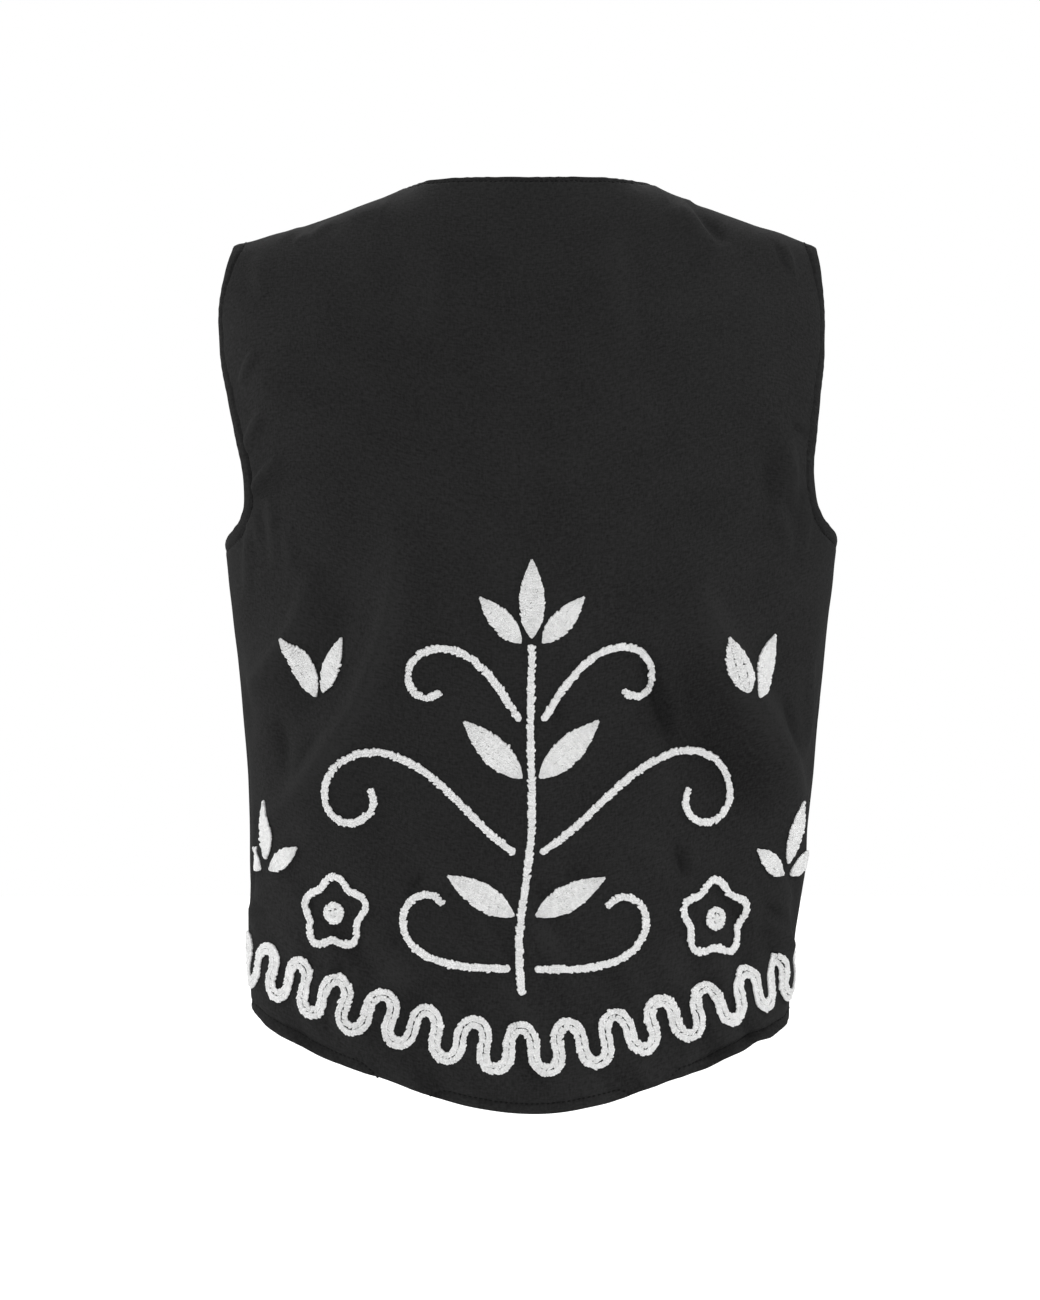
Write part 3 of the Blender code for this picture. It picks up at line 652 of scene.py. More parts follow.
FRONT_FOLDS = (
    Fold(2.88, 4, ((206, -198), (168, -172))),
    Fold(2.88, 3.2, ((206, -154), (176, -130))),
    Fold(2.88, -2.6, ((206, -112), (180, -92))),
    Fold(4, 6, ((88, -262), (94, -330), (124, -392), (168, -424))),
    Fold(4, 5.2, ((148, -262), (154, -296), (192, -330))),
    Fold(4.8, -4.4, ((150, -360), (182, -470))),
    Fold(4, 3.6, ((196, -420), (176, -470))),
    Fold(4, 3.6, ((20, -240), (46, -262), (78, -310))),
    Fold(3.68, -2.6, ((30, -268), (74, -326))),
    Fold(4.8, 3.6, ((112, -50), (126, -80), (138, -120))),
    Fold(2.4, 2.8, ((136, -40), (120, -26))),
    Fold(4.8, 3.2, ((80, -450), (104, -522))),
)
FOLD_STEPS = 14
FOLD_TAPER = 0.8


def to_line(points, line):
    """Distance of every point to a line, and how far along the line its nearest place is."""
    spots = points.reshape(-1, points.shape[-1])
    nearest = np.full(len(spots), np.inf)
    along = np.zeros(len(spots))
    run = 0.0
    for start, step in zip(line[:-1], np.diff(line, axis=0)):
        length = np.linalg.norm(step)
        away = spots - start
        t = np.clip(away @ step / length ** 2, 0.0, 1.0)
        gap = np.linalg.norm(away - t[:, None] * step, axis=1)
        closer = gap < nearest
        nearest[closer] = gap[closer]
        along[closer] = run + t[closer] * length
        run += length
    return nearest.reshape(points.shape[:2]), along.reshape(points.shape[:2])


def smooth_line(path):
    """A smooth line through two to four points in millimetres."""
    marks = np.array(path) * MM
    run = run_along(marks)
    t = np.linspace(0.0, run[-1], FOLD_STEPS)
    bends = [np.polyfit(run, marks[:, c], len(marks) - 1) for c in range(2)]
    return np.stack([np.polyval(bend, t) for bend in bends], axis=1)


def fold_rise(across, height, folds):
    """Sum of the narrow folds at each place on a panel; each fades to both of its ends."""
    places = np.stack((across, height), axis=-1)
    total = np.zeros_like(across)
    for fold in folds:
        line = smooth_line(fold.path)
        off, along = to_line(places, line)
        taper = np.clip(np.sin(math.pi * along / run_along(line)[-1]), 0.0, 1.0) ** FOLD_TAPER
        total = total + fold.rise * MM * taper * bell(off, fold.spread * MM)
    return total


print("narrow folds:", len(BACK_FOLDS), "on the back,", len(FRONT_FOLDS), "on each front")

# %% Slack and puckers
SLACK_WAVES = (0.120, 0.083, 0.061, 0.047, 0.036, 0.029)
SLACK_SLOPE = 0.0085
SLACK_TURN = 0.9
SMOOTH_SHARE = 0.3
SMOOTH_ABOVE = -0.200
CRUMPLED_BELOW = -0.330
CRUMPLE_WAVES = (0.037, 0.029, 0.022)
CRUMPLE_SLOPE = 0.055
CRUMPLE_TURN = 1.3
CRUMPLE_BEND = 1.7
PILLOW_ROUND = 0.02
PILLOW_MEAN = 0.66
PATCH_ACROSS = 0.019
PATCH_WANDER = 0.031
PATCH_UP = 0.017
CRUMPLE_TOP = -0.400
CRUMPLE_FADE = 0.060
PUCKER_BAND = 0.0380
PUCKER_BAND_SPREAD = 0.0190
PUCKER_SPACING = 0.0135
BAND_PUCKER_RISE = 0.00050
PUCKER_DRIFT = 0.021
PUCKER_SLANT = 0.055
PUCKER_UNEVEN = 0.017


def seeded_waves(across, height, lengths, widest_turn, seed):
    """Each wave's length, the distance along its seeded heading, and its seeded start."""
    chance = np.random.default_rng(seed)
    for length in lengths:
        turn = chance.uniform(-widest_turn, widest_turn)
        start = chance.uniform(0.0, 2.0 * math.pi)
        yield length, across * math.cos(turn) + height * math.sin(turn), start


def slack(across, height, seed):
    """Low uneven waves of loose cloth, smoother above: sine waves with seeded turns and starts."""
    total = np.zeros_like(across)
    low = np.clip((SMOOTH_ABOVE - height) / (SMOOTH_ABOVE - CRUMPLED_BELOW), 0.0, 1.0)
    for length, wave, start in seeded_waves(across, height, SLACK_WAVES, SLACK_TURN, seed):
        total = total + SLACK_SLOPE * length * np.sin(2.0 * math.pi * wave / length + start)
    return total * (SMOOTH_SHARE + (1.0 - SMOOTH_SHARE) * eased(low))


def crumple(across, height, seed):
    """Short creases low on a panel, in patches, where washing and the sewn hem crumple the cloth."""
    low = np.clip((CRUMPLE_TOP - height) / CRUMPLE_FADE, 0.0, 1.0)
    wander = across / PATCH_ACROSS + 2.0 * np.sin(height / PATCH_WANDER)
    patch = 0.5 + 0.5 * np.sin(wander) * np.sin(height / PATCH_UP)
    total = np.zeros_like(across)
    for length, wave, start in seeded_waves(across, height, CRUMPLE_WAVES, CRUMPLE_TURN, seed):
        bent = wave / length + 0.5 * np.sin((across - height) / (CRUMPLE_BEND * length)) + start
        pillow = np.sqrt(np.sin(math.pi * bent) ** 2 + PILLOW_ROUND)
        total = total + CRUMPLE_SLOPE * length * (pillow - PILLOW_MEAN)
    return total * low * patch


def band_puckers(across, height):
    """Short uneven puckers that a sewn border draws into the cloth above the back hem."""
    girth = half_width(height) * QUARTER_ARC
    above = height - back_hem(np.clip(np.abs(across) / girth, 0.0, 1.0))
    band = bell(above - PUCKER_BAND, PUCKER_BAND_SPREAD)
    turns = across / PUCKER_SPACING + 0.8 * np.sin(across / PUCKER_DRIFT) + above / PUCKER_SLANT
    uneven = 0.6 + 0.4 * np.sin(across / PUCKER_UNEVEN + 1.0)
    return BAND_PUCKER_RISE * band * uneven * np.sin(2.0 * math.pi * turns)


# Besides the rise, crease heights that paint crests paler (rubbed wear and painted light) and troughs darker
# (painted shade).
Loose = namedtuple("Loose", "rise rubbed")
# Crumples count this many times over in the painted shade, so their troughs are painted darker.
CRUMPLE_PAINTED_SHADE = 3.5


def loose_cloth(panel, creases, folds, seed):
    """How far a panel's loose cloth stands off the smooth form, and crease heights for painted fold shading.
    """
    height = panel.points[..., 2]
    narrow = fold_rise(panel.across, height, folds)
    crumpled = crumple(panel.across, height, seed + 1)
    broad = crease_rise(panel.across, height, creases) + slack(panel.across, height, seed)
    return Loose(broad + narrow + crumpled, narrow + CRUMPLE_PAINTED_SHADE * crumpled)


back_loose = loose_cloth(back_form, BACK_CREASES, BACK_FOLDS, seed=11)
left_loose = loose_cloth(front_form, FRONT_CREASES, FRONT_FOLDS, seed=23)
right_loose = loose_cloth(front_form, FRONT_CREASES, FRONT_FOLDS, seed=37)
back_rise = back_loose.rise + band_puckers(back_form.across, back_form.points[..., 2])
print("creases move the back by", round(float(np.ptp(back_rise)) * 1000.0, 1), "mm in all")

# %% [markdown]
# ## Sewn edges
#
# The neck, armholes, hem and centre fronts are turned under and topstitched a few millimetres in. That
# gives a thick rounded edge, a shallow channel where the thread pulls the layers together, and small
# puckers between the stitches. Side and shoulder seams only dip where two panels meet. A bump in the
# material would leave the outline flat, so the edges are shaped in the mesh, from each point's distance
# to the edges of its panel.

# %% Distances to the edges
Sewn = namedtuple("Sewn", "stitch_in channel puff")
SEWN = {
    "hem": Sewn(0.0062, 0.00090, 0.00035),
    "armhole": Sewn(0.0080, 0.00160, 0.00050),
    "neck": Sewn(0.0036, 0.00050, 0.00030),
    "front": Sewn(0.0062, 0.00100, 0.00035),
}


def edge_distances(panel):
    """Distance of every point to each named edge, and the place along that edge."""
    distances = {}
    places = {}
    for name, lines in panel.edges.items():
        found = [to_line(panel.points, line) for line in lines]
        gaps = np.stack([gap for gap, _ in found])
        runs = np.stack([run for _, run in found])
        pick = gaps.argmin(axis=0)[None]
        distances[name] = np.take_along_axis(gaps, pick, axis=0)[0]
        places[name] = np.take_along_axis(runs, pick, axis=0)[0]
    return distances, places


back_distances, back_places = edge_distances(back_form)
front_distances, front_places = edge_distances(front_form)
print("edges of the back:", ", ".join(back_distances), "and of a front:", ", ".join(front_distances))

# %% Where the back hem curls under
Curl = namedtuple("Curl", "across spread depth")
CURLS = (Curl(0.072, 0.020, 0.0095), Curl(-0.078, 0.015, 0.0090))

curl = sum(c.depth * np.exp(-(((back_form.across - c.across) / c.spread) ** 4)) for c in CURLS)
back_stitched = dict(back_distances, hem=back_distances["hem"] + curl)
print("the hem's stitches curl out of sight at", len(CURLS), "places")

# %% Thickness and puckers near the edges
CLOTH = 0.0012
TURNED = 0.0024
TURN_WIDTH = 0.0110
TURN_STEP = 0.0012
PUFF_MIDDLE = 0.55
PUFF_REACH = 0.5
INNER_SHARE = 0.6
SEAM_EASE = 0.0060
CHANNEL_EASE = 0.0200
EDGE_ROUND = 0.0011
CHANNEL_SPREAD = 0.0008
PUCKER_PITCH = 0.0105
PUCKER_WANDER = 0.0075
PUCKER_RISE = 0.00030
PUCKER_FADE = 0.0065
SEAM_DIP = 0.0005
SEAM_SPREAD = 0.0020


def edge_shape(distances, stitched, places):
    """Outward move of the face, thickness of the cloth and rounding of its rim."""
    nearest = np.minimum.reduce(list(distances.values()))
    free = np.minimum.reduce([distances[name] for name in SEWN if name in distances])
    seam = np.minimum(distances["side_seam"], distances["shoulder_seam"])
    ease = np.clip(seam / SEAM_EASE, 0.0, 1.0)
    channel_ease = np.clip(seam / CHANNEL_EASE, 0.0, 1.0) ** 2
    turned = ease * np.clip((TURN_WIDTH - free) / TURN_STEP, 0.0, 1.0)
    thick = CLOTH + (TURNED - CLOTH) * turned
    inward = np.clip(1.0 - nearest / EDGE_ROUND, 0.0, 1.0)
    sink = thick / 2.0 * (1.0 - np.sqrt(np.maximum(1.0 - inward ** 2, 0.0)))
    face = np.zeros_like(nearest)
    for name, sewn in SEWN.items():
        if name not in distances:
            continue
        off = stitched[name] - sewn.stitch_in
        face = face - sewn.channel * channel_ease * bell(off, CHANNEL_SPREAD)
        from_puff = np.abs(off / sewn.stitch_in + PUFF_MIDDLE)
        face = face + sewn.puff * np.clip(1.0 - from_puff / PUFF_REACH, 0.0, 1.0)
        turns = places[name] / PUCKER_PITCH + 0.5 * np.sin(places[name] / PUCKER_WANDER)
        face = face + PUCKER_RISE * np.sin(2.0 * math.pi * turns) * np.exp(-np.abs(off) / PUCKER_FADE)
    face = face * ease - SEAM_DIP * bell(seam, SEAM_SPREAD)
    return face, thick, sink


back_edge_shape = edge_shape(back_distances, back_stitched, back_places)
front_edge_shape = edge_shape(front_distances, front_distances, front_places)
print("cloth from", CLOTH * 1000.0, "to", round(float(back_edge_shape[1].max()) * 1000.0, 1), "mm thick")

# %% Shape the panels
Calm = namedtuple("Calm", "edge start width")
CALM = (
    Calm("side_seam", 0.0, 0.014),
    Calm("shoulder_seam", 0.0, 0.010),
    Calm("neck", 0.0, 0.020),
    Calm("armhole", 0.004, 0.014),
)

# The last field paints crests paler and troughs darker: painted light and shade of the creases.
Shaped = namedtuple("Shaped", "outer inner normals stitched flat worn")
RUB_AND_SHADE_RISE = 0.0045
ON_THE_RIM = 1e-9


def shape_panel(panel, distances, stitched, edge_form, rise, rubbed, hand):
    """Outer and inner faces of a panel, with creases, sewn edges and lean; hand -1 mirrors it."""
    face, thick, sink = edge_form
    still = [(distances[c.edge] + c.start) / c.width for c in CALM if c.edge in distances]
    calm = eased(np.clip(np.minimum.reduce(still), 0.0, 1.0))
    outer = panel.points + panel.normals * (rise * calm + face - sink)[..., None]
    inner = panel.points + panel.normals * (rise * calm + INNER_SHARE * face - thick + sink)[..., None]
    rim = np.minimum.reduce(list(distances.values())) < ON_THE_RIM
    inner[rim] = outer[rim]
    mirror = np.array((hand, 1.0, 1.0))
    flat = np.stack((panel.across * hand, run_along(panel.points)), axis=-1)
    # Painted light and shade: +1 paints a crest fully paler, -1 paints a trough fully darker.
    worn = np.clip(rubbed * calm / RUB_AND_SHADE_RISE, -1.0, 1.0)
    return Shaped(hang(outer * mirror), hang(inner * mirror), panel.normals * mirror, stitched, flat, worn)


back_shape = (back_form, back_distances, back_stitched, back_edge_shape)
back_cut = shape_panel(*back_shape, back_rise, back_loose.rubbed, 1.0)
front_shape = (front_form, front_distances, front_distances, front_edge_shape)
left_cut = shape_panel(*front_shape, left_loose.rise, left_loose.rubbed, 1.0)
right_cut = shape_panel(*front_shape, right_loose.rise, right_loose.rubbed, -1.0)
print("highest point of the back", round(float(back_cut.outer[..., 2].max()), 4), "m")

# %% [markdown]
# ## Cotton
#
# The cloth is a matte black plain weave with slubs: thicker stretches of yarn that run along both sets
# of threads. An image of cloth would tile and blur, so the weave is built from the flat cut's own UV
# map, which is in metres: two crossed sets of threads, long thin noise for the slubs, and a broad faint
# unevenness from washing. The height of the narrow folds and the crumples is kept on the mesh as an
# attribute that paints the crests paler and the troughs darker: the paler crests are partly rubbed wear
# and partly painted light, and the darker troughs are painted shade.


# %% Node helpers
def math_node(tree, operation, *values):
    """A Math node with its inputs linked or set."""
    node = tree.nodes.new("ShaderNodeMath")
    node.operation = operation
    for socket, value in zip(node.inputs, values):
        if isinstance(value, (int, float)):
            socket.default_value = value
        else:
            tree.links.new(value, socket)
    return node.outputs[0]


def uv_map(tree, name):
    """A named UV map of the piece."""
    node = tree.nodes.new("ShaderNodeUVMap")
    node.uv_map = name
    return node.outputs["UV"]


def attribute(tree, name):
    """A named attribute of the piece's mesh."""
    node = tree.nodes.new("ShaderNodeAttribute")
    node.attribute_name = name
    return node.outputs["Fac"]


def stretched_noise(tree, vector, per_metre, detail):
    """Noise with its own fineness along each direction."""
    mapping = tree.nodes.new("ShaderNodeMapping")
    mapping.inputs["Scale"].default_value = per_metre
    tree.links.new(vector, mapping.inputs["Vector"])
    noise = tree.nodes.new("ShaderNodeTexNoise")
    noise.inputs["Scale"].default_value = 1.0
    noise.inputs["Detail"].default_value = detail
    noise.inputs["Roughness"].default_value = 0.55
    tree.links.new(mapping.outputs["Vector"], noise.inputs["Vector"])
    return noise.outputs["Fac"]


def colour_ramp(tree, factor, *stops):
    """A colour ramp through two (place, colour) stops."""
    ramp = tree.nodes.new("ShaderNodeValToRGB")
    for element, (place, colour) in zip(ramp.color_ramp.elements, stops):
        element.position = place
        element.color = (*colour, 1.0)
    tree.links.new(factor, ramp.inputs["Fac"])
    return ramp.outputs["Color"]


def bump(tree, height, strength, distance):
    """A Bump node on a height."""
    node = tree.nodes.new("ShaderNodeBump")
    node.inputs["Strength"].default_value = strength
    node.inputs["Distance"].default_value = distance
    tree.links.new(height, node.inputs["Height"])
    return node.outputs["Normal"]


def new_material(name):
    """A node material and its Principled shader."""
    finish = bpy.data.materials.new(name)
    finish.use_nodes = True
    return finish, finish.node_tree, finish.node_tree.nodes["Principled BSDF"]


print("node helpers ready")

# %% Black cotton
THREADS_PER_METRE = 1500.0
SLUBS_UP = (850.0, 360.0, 1.0)
SLUBS_ACROSS = (300.0, 850.0, 1.0)
WASHED_PATCHES = (24.0, 24.0, 1.0)
THREAD_SHADE = 0.10
SLUB_SHADE = 0.80
WASHED_SHADE = 0.16
# Share of the painted crest light and trough shade in the cloth's tone.
RUB_AND_SHADE_SHARE = 0.070
THREAD_RELIEF = 0.35
COTTON_DARK = (0.0098, 0.0098, 0.0098)
COTTON_LIGHT = (0.0252, 0.0252, 0.0253)


def woven_threads(tree, cut, threads_per_metre):
    """Height of a plain weave: each set of threads lies on top at every other crossing."""
    split = tree.nodes.new("ShaderNodeSeparateXYZ")
    tree.links.new(cut, split.inputs[0])
    turns = math.pi * threads_per_metre
    warp = math_node(tree, "SINE", math_node(tree, "MULTIPLY", split.outputs["X"], turns))
    weft = math_node(tree, "SINE", math_node(tree, "MULTIPLY", split.outputs["Y"], turns))
    over = math_node(tree, "GREATER_THAN", math_node(tree, "MULTIPLY", warp, weft), 0.0)
    under = math_node(tree, "SUBTRACT", 1.0, over)
    warp_top = math_node(tree, "MULTIPLY", math_node(tree, "ABSOLUTE", warp), over)
    weft_top = math_node(tree, "MULTIPLY", math_node(tree, "ABSOLUTE", weft), under)
    return math_node(tree, "ADD", warp_top, weft_top)


def black_cotton():
    """Matte black plain weave with slubs, a washed unevenness and a faint nap."""
    finish, tree, shader = new_material("cotton_black")
    cut = uv_map(tree, "flat_cut")
    threads = woven_threads(tree, cut, THREADS_PER_METRE)
    slubs_up = stretched_noise(tree, cut, SLUBS_UP, detail=2.0)
    slubs_across = stretched_noise(tree, cut, SLUBS_ACROSS, detail=2.0)
    slubs = math_node(tree, "MULTIPLY", math_node(tree, "ADD", slubs_up, slubs_across), 0.5)
    washed = stretched_noise(tree, cut, WASHED_PATCHES, detail=4.0)
    # Crests painted paler and troughs painted darker: painted fold light and shade, partly rubbed wear on
    # the crests.
    worn = attribute(tree, "worn")
    shade = math_node(tree, "MULTIPLY", slubs, SLUB_SHADE)
    for part, share in ((threads, THREAD_SHADE), (washed, WASHED_SHADE), (worn, RUB_AND_SHADE_SHARE)):
        shade = math_node(tree, "MULTIPLY_ADD", part, share, shade)
    tones = colour_ramp(tree, shade, (0.36, COTTON_DARK), (0.66, COTTON_LIGHT))
    tree.links.new(tones, shader.inputs["Base Color"])
    height = math_node(tree, "MULTIPLY_ADD", threads, THREAD_RELIEF, slubs)
    tree.links.new(bump(tree, height, strength=0.5, distance=0.0004), shader.inputs["Normal"])
    shader.inputs["Roughness"].default_value = 0.85
    shader.inputs["Specular IOR Level"].default_value = 0.05
    shader.inputs["Sheen Weight"].default_value = 0.003
    shader.inputs["Sheen Roughness"].default_value = 0.45
    return finish


cotton = black_cotton()
print("material", cotton.name, len(cotton.node_tree.nodes), "nodes")

# %% [markdown]
# ## Sewing the cloth
#
# Each panel is a thin closed shell: an outer grid and an inner grid that share a rounded rim. A Solidify
# modifier would give one thickness and square edges, and the turned hems are twice as thick as the rest,
# so both faces are laid out and welded along the rim. The flat cut goes into the UV map for the weave.


# %% A panel as a closed shell
def grid_sheet(bm, points, uv_layer, flat, rub_and_fold_shade_layer, worn):
    """One grid laid on the points, with the flat cut as UV map and its painted crease light and shade."""
    rows, columns = points.shape[:2]
    verts = bmesh.ops.create_grid(bm, x_segments=columns - 1, y_segments=rows - 1, size=1.0)["verts"]
    spots = {}
    for vert in verts:
        column = round((vert.co.x + 1.0) / 2.0 * (columns - 1))
        row = round((vert.co.y + 1.0) / 2.0 * (rows - 1))
        spots[vert] = (row, column)
    faces = list({face for vert in verts for face in vert.link_faces})
    for face in faces:
        face.smooth = True
        for loop in face.loops:
            loop[uv_layer].uv = flat[spots[loop.vert]]
    for vert, spot in spots.items():
        vert.co = points[spot]
        vert[rub_and_fold_shade_layer] = worn[spot]
    return verts, faces


def add_piece(name, mesh, finish, slot, *nodes):
    """Link a finished mesh as a piece that rides on the one body and stands for its solids."""
    mesh.materials.append(finish)
    piece = put(name, mesh)
    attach(piece, "root")
    if nodes:
        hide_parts(*nodes)
    return piece


def mesh_from(bm, name):
    """A finished shape as a mesh; the working shape is let go."""
    mesh = bpy.data.meshes.new(name)
    bm.to_mesh(mesh)
    bm.free()
    return mesh


def cloth_shell(name, cut, facing, node):
    """A thin closed shell of cotton from the two faces of a cut panel, and its area."""
    bm = bmesh.new()
    uv_layer = bm.loops.layers.uv.new("flat_cut")
    # Crease heights per point, which paint crests paler and troughs darker: painted light and shade.
    rub_and_fold_shade_layer = bm.verts.layers.float.new("worn")
    outer, outer_faces = grid_sheet(bm, cut.outer, uv_layer, cut.flat, rub_and_fold_shade_layer, cut.worn)
    inner, inner_faces = grid_sheet(bm, cut.inner, uv_layer, cut.flat, rub_and_fold_shade_layer, cut.worn)
    bm.normal_update()
    inside_out = sum(face.normal.y * face.calc_area() for face in outer_faces) * facing < 0.0
    bmesh.ops.reverse_faces(bm, faces=outer_faces if inside_out else inner_faces)
    area = sum(face.calc_area() for face in outer_faces)
    rim = [vert for vert in outer + inner if vert.is_boundary]
    bmesh.ops.remove_doubles(bm, verts=rim, dist=1e-7)
    open_edges = sum(len(edge.link_faces) != 2 for edge in bm.edges)
    mesh = mesh_from(bm, name)
    piece = add_piece(name, mesh, cotton, "cotton_black", node)
    print(name, len(mesh.polygons), "faces,", round(area, 4), "m2 of cloth, open edges:", open_edges)
    return piece, area


back_cloth, back_area = cloth_shell("back_cloth", back_cut, 1.0, "back")
left_cloth, left_area = cloth_shell("front_left_cloth", left_cut, -1.0, "front_left")
right_cloth, right_area = cloth_shell("front_right_cloth", right_cut, -1.0, "front_right")

# %% [markdown]
# ## Small stitches in long rows
#
# Topstitching and embroidery are the same small thing set down a great many times. Separate objects
# would be slow, so one stitch is modelled with a few dozen faces, and its copies are joined into one
# mesh for each row of sewing. Every copy has its own place and its own directions along the row and up
# from the cloth, a little uneven as real sewing is.

# %% Joining copies of one stitch
Places = namedtuple("Places", "spots axes shades")
stitch_chance = np.random.default_rng(5)
STITCH_TURN = 0.10
STITCH_GROW = 0.06
STITCH_DRIFT = 0.00013
CENTRE = (0.0, 0.0, 0.0)


def stitch_places(spots, ups, closed, width, unevenness):
    """Places along a row: axes run ahead, sideways and up, scaled and turned a little at random."""
    if closed:
        ahead = np.roll(spots, -1, axis=0) - np.roll(spots, 1, axis=0)
    else:
        ahead = np.gradient(spots, axis=0)
    ups = unit(ups)
    ahead = unit(ahead - ups * np.sum(ahead * ups, axis=1, keepdims=True))
    sideways = np.cross(ups, ahead)
    turn = stitch_chance.normal(0.0, STITCH_TURN * unevenness, len(spots))[:, None]
    grow = 1.0 + stitch_chance.normal(0.0, STITCH_GROW * unevenness, (len(spots), 3, 1))
    leaned = ahead * np.cos(turn) + sideways * np.sin(turn)
    aside = np.cross(ups, leaned) * np.asarray(width)[..., None]
    axes = np.stack((leaned, aside, ups), axis=1) * grow
    drift = stitch_chance.normal(0.0, STITCH_DRIFT * unevenness, len(spots))[:, None]
    return Places(spots + aside * drift, axes, stitch_chance.uniform(0.0, 1.0, len(spots)))


def gather(rows):
    """Several rows of places as one."""
    return Places(*(np.concatenate(part) for part in zip(*rows)))


def joined_copies(name, pattern, places, finish, slot, *nodes):
    """One piece that joins a copy of the pattern at every place."""
    shape = np.array([vert.co for vert in pattern.vertices])
    spots = places.spots[:, None, :] + np.einsum("vk,nkc->nvc", shape, places.axes)
    loops = [tuple(face.vertices) for face in pattern.polygons]
    faces = [[v + n * len(shape) for v in loop] for n in range(len(places.spots)) for loop in loops]
    mesh = bpy.data.meshes.new(name)
    mesh.from_pydata(spots.reshape(-1, 3).tolist(), [], faces)
    ply = np.array([corner.uv for corner in pattern.uv_layers[0].data])
    mesh.uv_layers.new(name="ply").data.foreach_set("uv", np.tile(ply, (len(spots), 1)).ravel())
    shade = mesh.attributes.new("stitch_shade", "FLOAT", "POINT")
    shade.data.foreach_set("value", np.repeat(places.shades, len(shape)))
    mesh.shade_smooth()
    return add_piece(name, mesh, finish, slot, *nodes)


def rounded_thread(bm, size, sides, rings):
    """A short thread with both ends rounded, lying along X, with its plies in the UV map."""
    bm.loops.layers.uv.verify()
    made = bmesh.ops.create_uvsphere(bm, u_segments=sides, v_segments=rings, radius=0.5, calc_uvs=True)
    verts = made["verts"]
    bmesh.ops.rotate(bm, verts=verts, cent=CENTRE, matrix=Matrix.Rotation(math.pi / 2.0, 3, "Y"))
    bmesh.ops.scale(bm, verts=verts, vec=size)
    return verts


print("stitch helpers ready")

# %% Spun thread and yarn
PLIES = 3.0
PLY_TWIST = 2.0
PLY_RELIEF = 0.30
FIBRES_PER_METRE = (2600.0, 2600.0, 2600.0)
STITCH_SHADE = 0.35


def spun_ply_group():
    """Shared group: the height of twisted plies with their fibres, and the fibres alone."""
    group = bpy.data.node_groups.new("spun_ply", "ShaderNodeTree")
    for name in ("Ply", "Place"):
        group.interface.new_socket(name=name, in_out="INPUT", socket_type="NodeSocketVector")
    for name in ("Height", "Fibre"):
        group.interface.new_socket(name=name, in_out="OUTPUT", socket_type="NodeSocketFloat")
    start = group.nodes.new("NodeGroupInput")
    end = group.nodes.new("NodeGroupOutput")
    split = group.nodes.new("ShaderNodeSeparateXYZ")
    group.links.new(start.outputs["Ply"], split.inputs[0])
    around = math_node(group, "MULTIPLY", split.outputs["X"], PLIES)
    twist = math_node(group, "MULTIPLY_ADD", split.outputs["Y"], PLY_TWIST, around)
    plies = math_node(group, "SINE", math_node(group, "MULTIPLY", twist, 2.0 * math.pi))
    fibre = stretched_noise(group, start.outputs["Place"], FIBRES_PER_METRE, detail=3.0)
    group.links.new(math_node(group, "MULTIPLY_ADD", plies, PLY_RELIEF, fibre), end.inputs["Height"])
    group.links.new(fibre, end.inputs["Fibre"])
    return group


spun_ply = spun_ply_group()


def spun_material(name, dark, light, relief, nap):
    """Matte spun cotton: fibres and twisted plies, each stitch a little lighter or darker."""
    finish, tree, shader = new_material(name)
    place = tree.nodes.new("ShaderNodeTexCoord")
    ply = tree.nodes.new("ShaderNodeGroup")
    ply.node_tree = spun_ply
    tree.links.new(uv_map(tree, "ply"), ply.inputs["Ply"])
    tree.links.new(place.outputs["Object"], ply.inputs["Place"])
    stitch = attribute(tree, "stitch_shade")
    shade = math_node(tree, "MULTIPLY_ADD", stitch, STITCH_SHADE, ply.outputs["Fibre"])
    tree.links.new(colour_ramp(tree, shade, (0.35, dark), (1.0, light)), shader.inputs["Base Color"])
    tree.links.new(bump(tree, ply.outputs["Height"], strength=0.6, distance=relief), shader.inputs["Normal"])
    shader.inputs["Roughness"].default_value = 0.9
    shader.inputs["Specular IOR Level"].default_value = 0.2
    shader.inputs["Sheen Weight"].default_value = nap
    return finish


white_yarn = spun_material(
    "yarn_white", dark=(0.720, 0.720, 0.717), light=(0.920, 0.920, 0.917), relief=0.0005, nap=0.05)
black_thread = spun_material(
    "thread_black", dark=(0.003, 0.003, 0.003), light=(0.006, 0.006, 0.006), relief=0.0002, nap=0.0)
print("materials", white_yarn.name, "and", black_thread.name, "share", spun_ply.name)

# %% [markdown]
# ## Topstitching
#
# A row of machine stitches holds each turned edge. Each stitch is a short thread that dives into the
# cloth at both ends, so it is a rounded thread half sunk in its channel. The rows are read off the panels
# where the distance to the edge equals the channel's, and stop where another row of stitches begins.

# %% Stitch rows along the turned edges
TOPSTITCH_PITCH = 0.0031
MACHINE_UNEVENNESS = 0.5
MACHINE_STITCH = (0.0023, 0.00150, 0.00085)


def from_edge(grid, edge, far_side):
    """The grid with its lines running inward from an edge."""
    if edge in ("hem", "neck"):
        lines = np.swapaxes(grid, 0, 1)
        return lines if edge == "hem" else lines[:, ::-1]
    return grid[:, ::-1] if far_side else grid


def stitch_run(spots, ups):
    """Machine stitches at an even pitch along one unbroken line of points."""
    run = run_along(spots)
    marks = np.linspace(0.0, run[-1], max(3, int(run[-1] / TOPSTITCH_PITCH) + 1))
    spots = spaced_along(marks, run, spots)
    ups = spaced_along(marks, run, ups)
    return stitch_places(spots, ups, False, 1.0, MACHINE_UNEVENNESS)


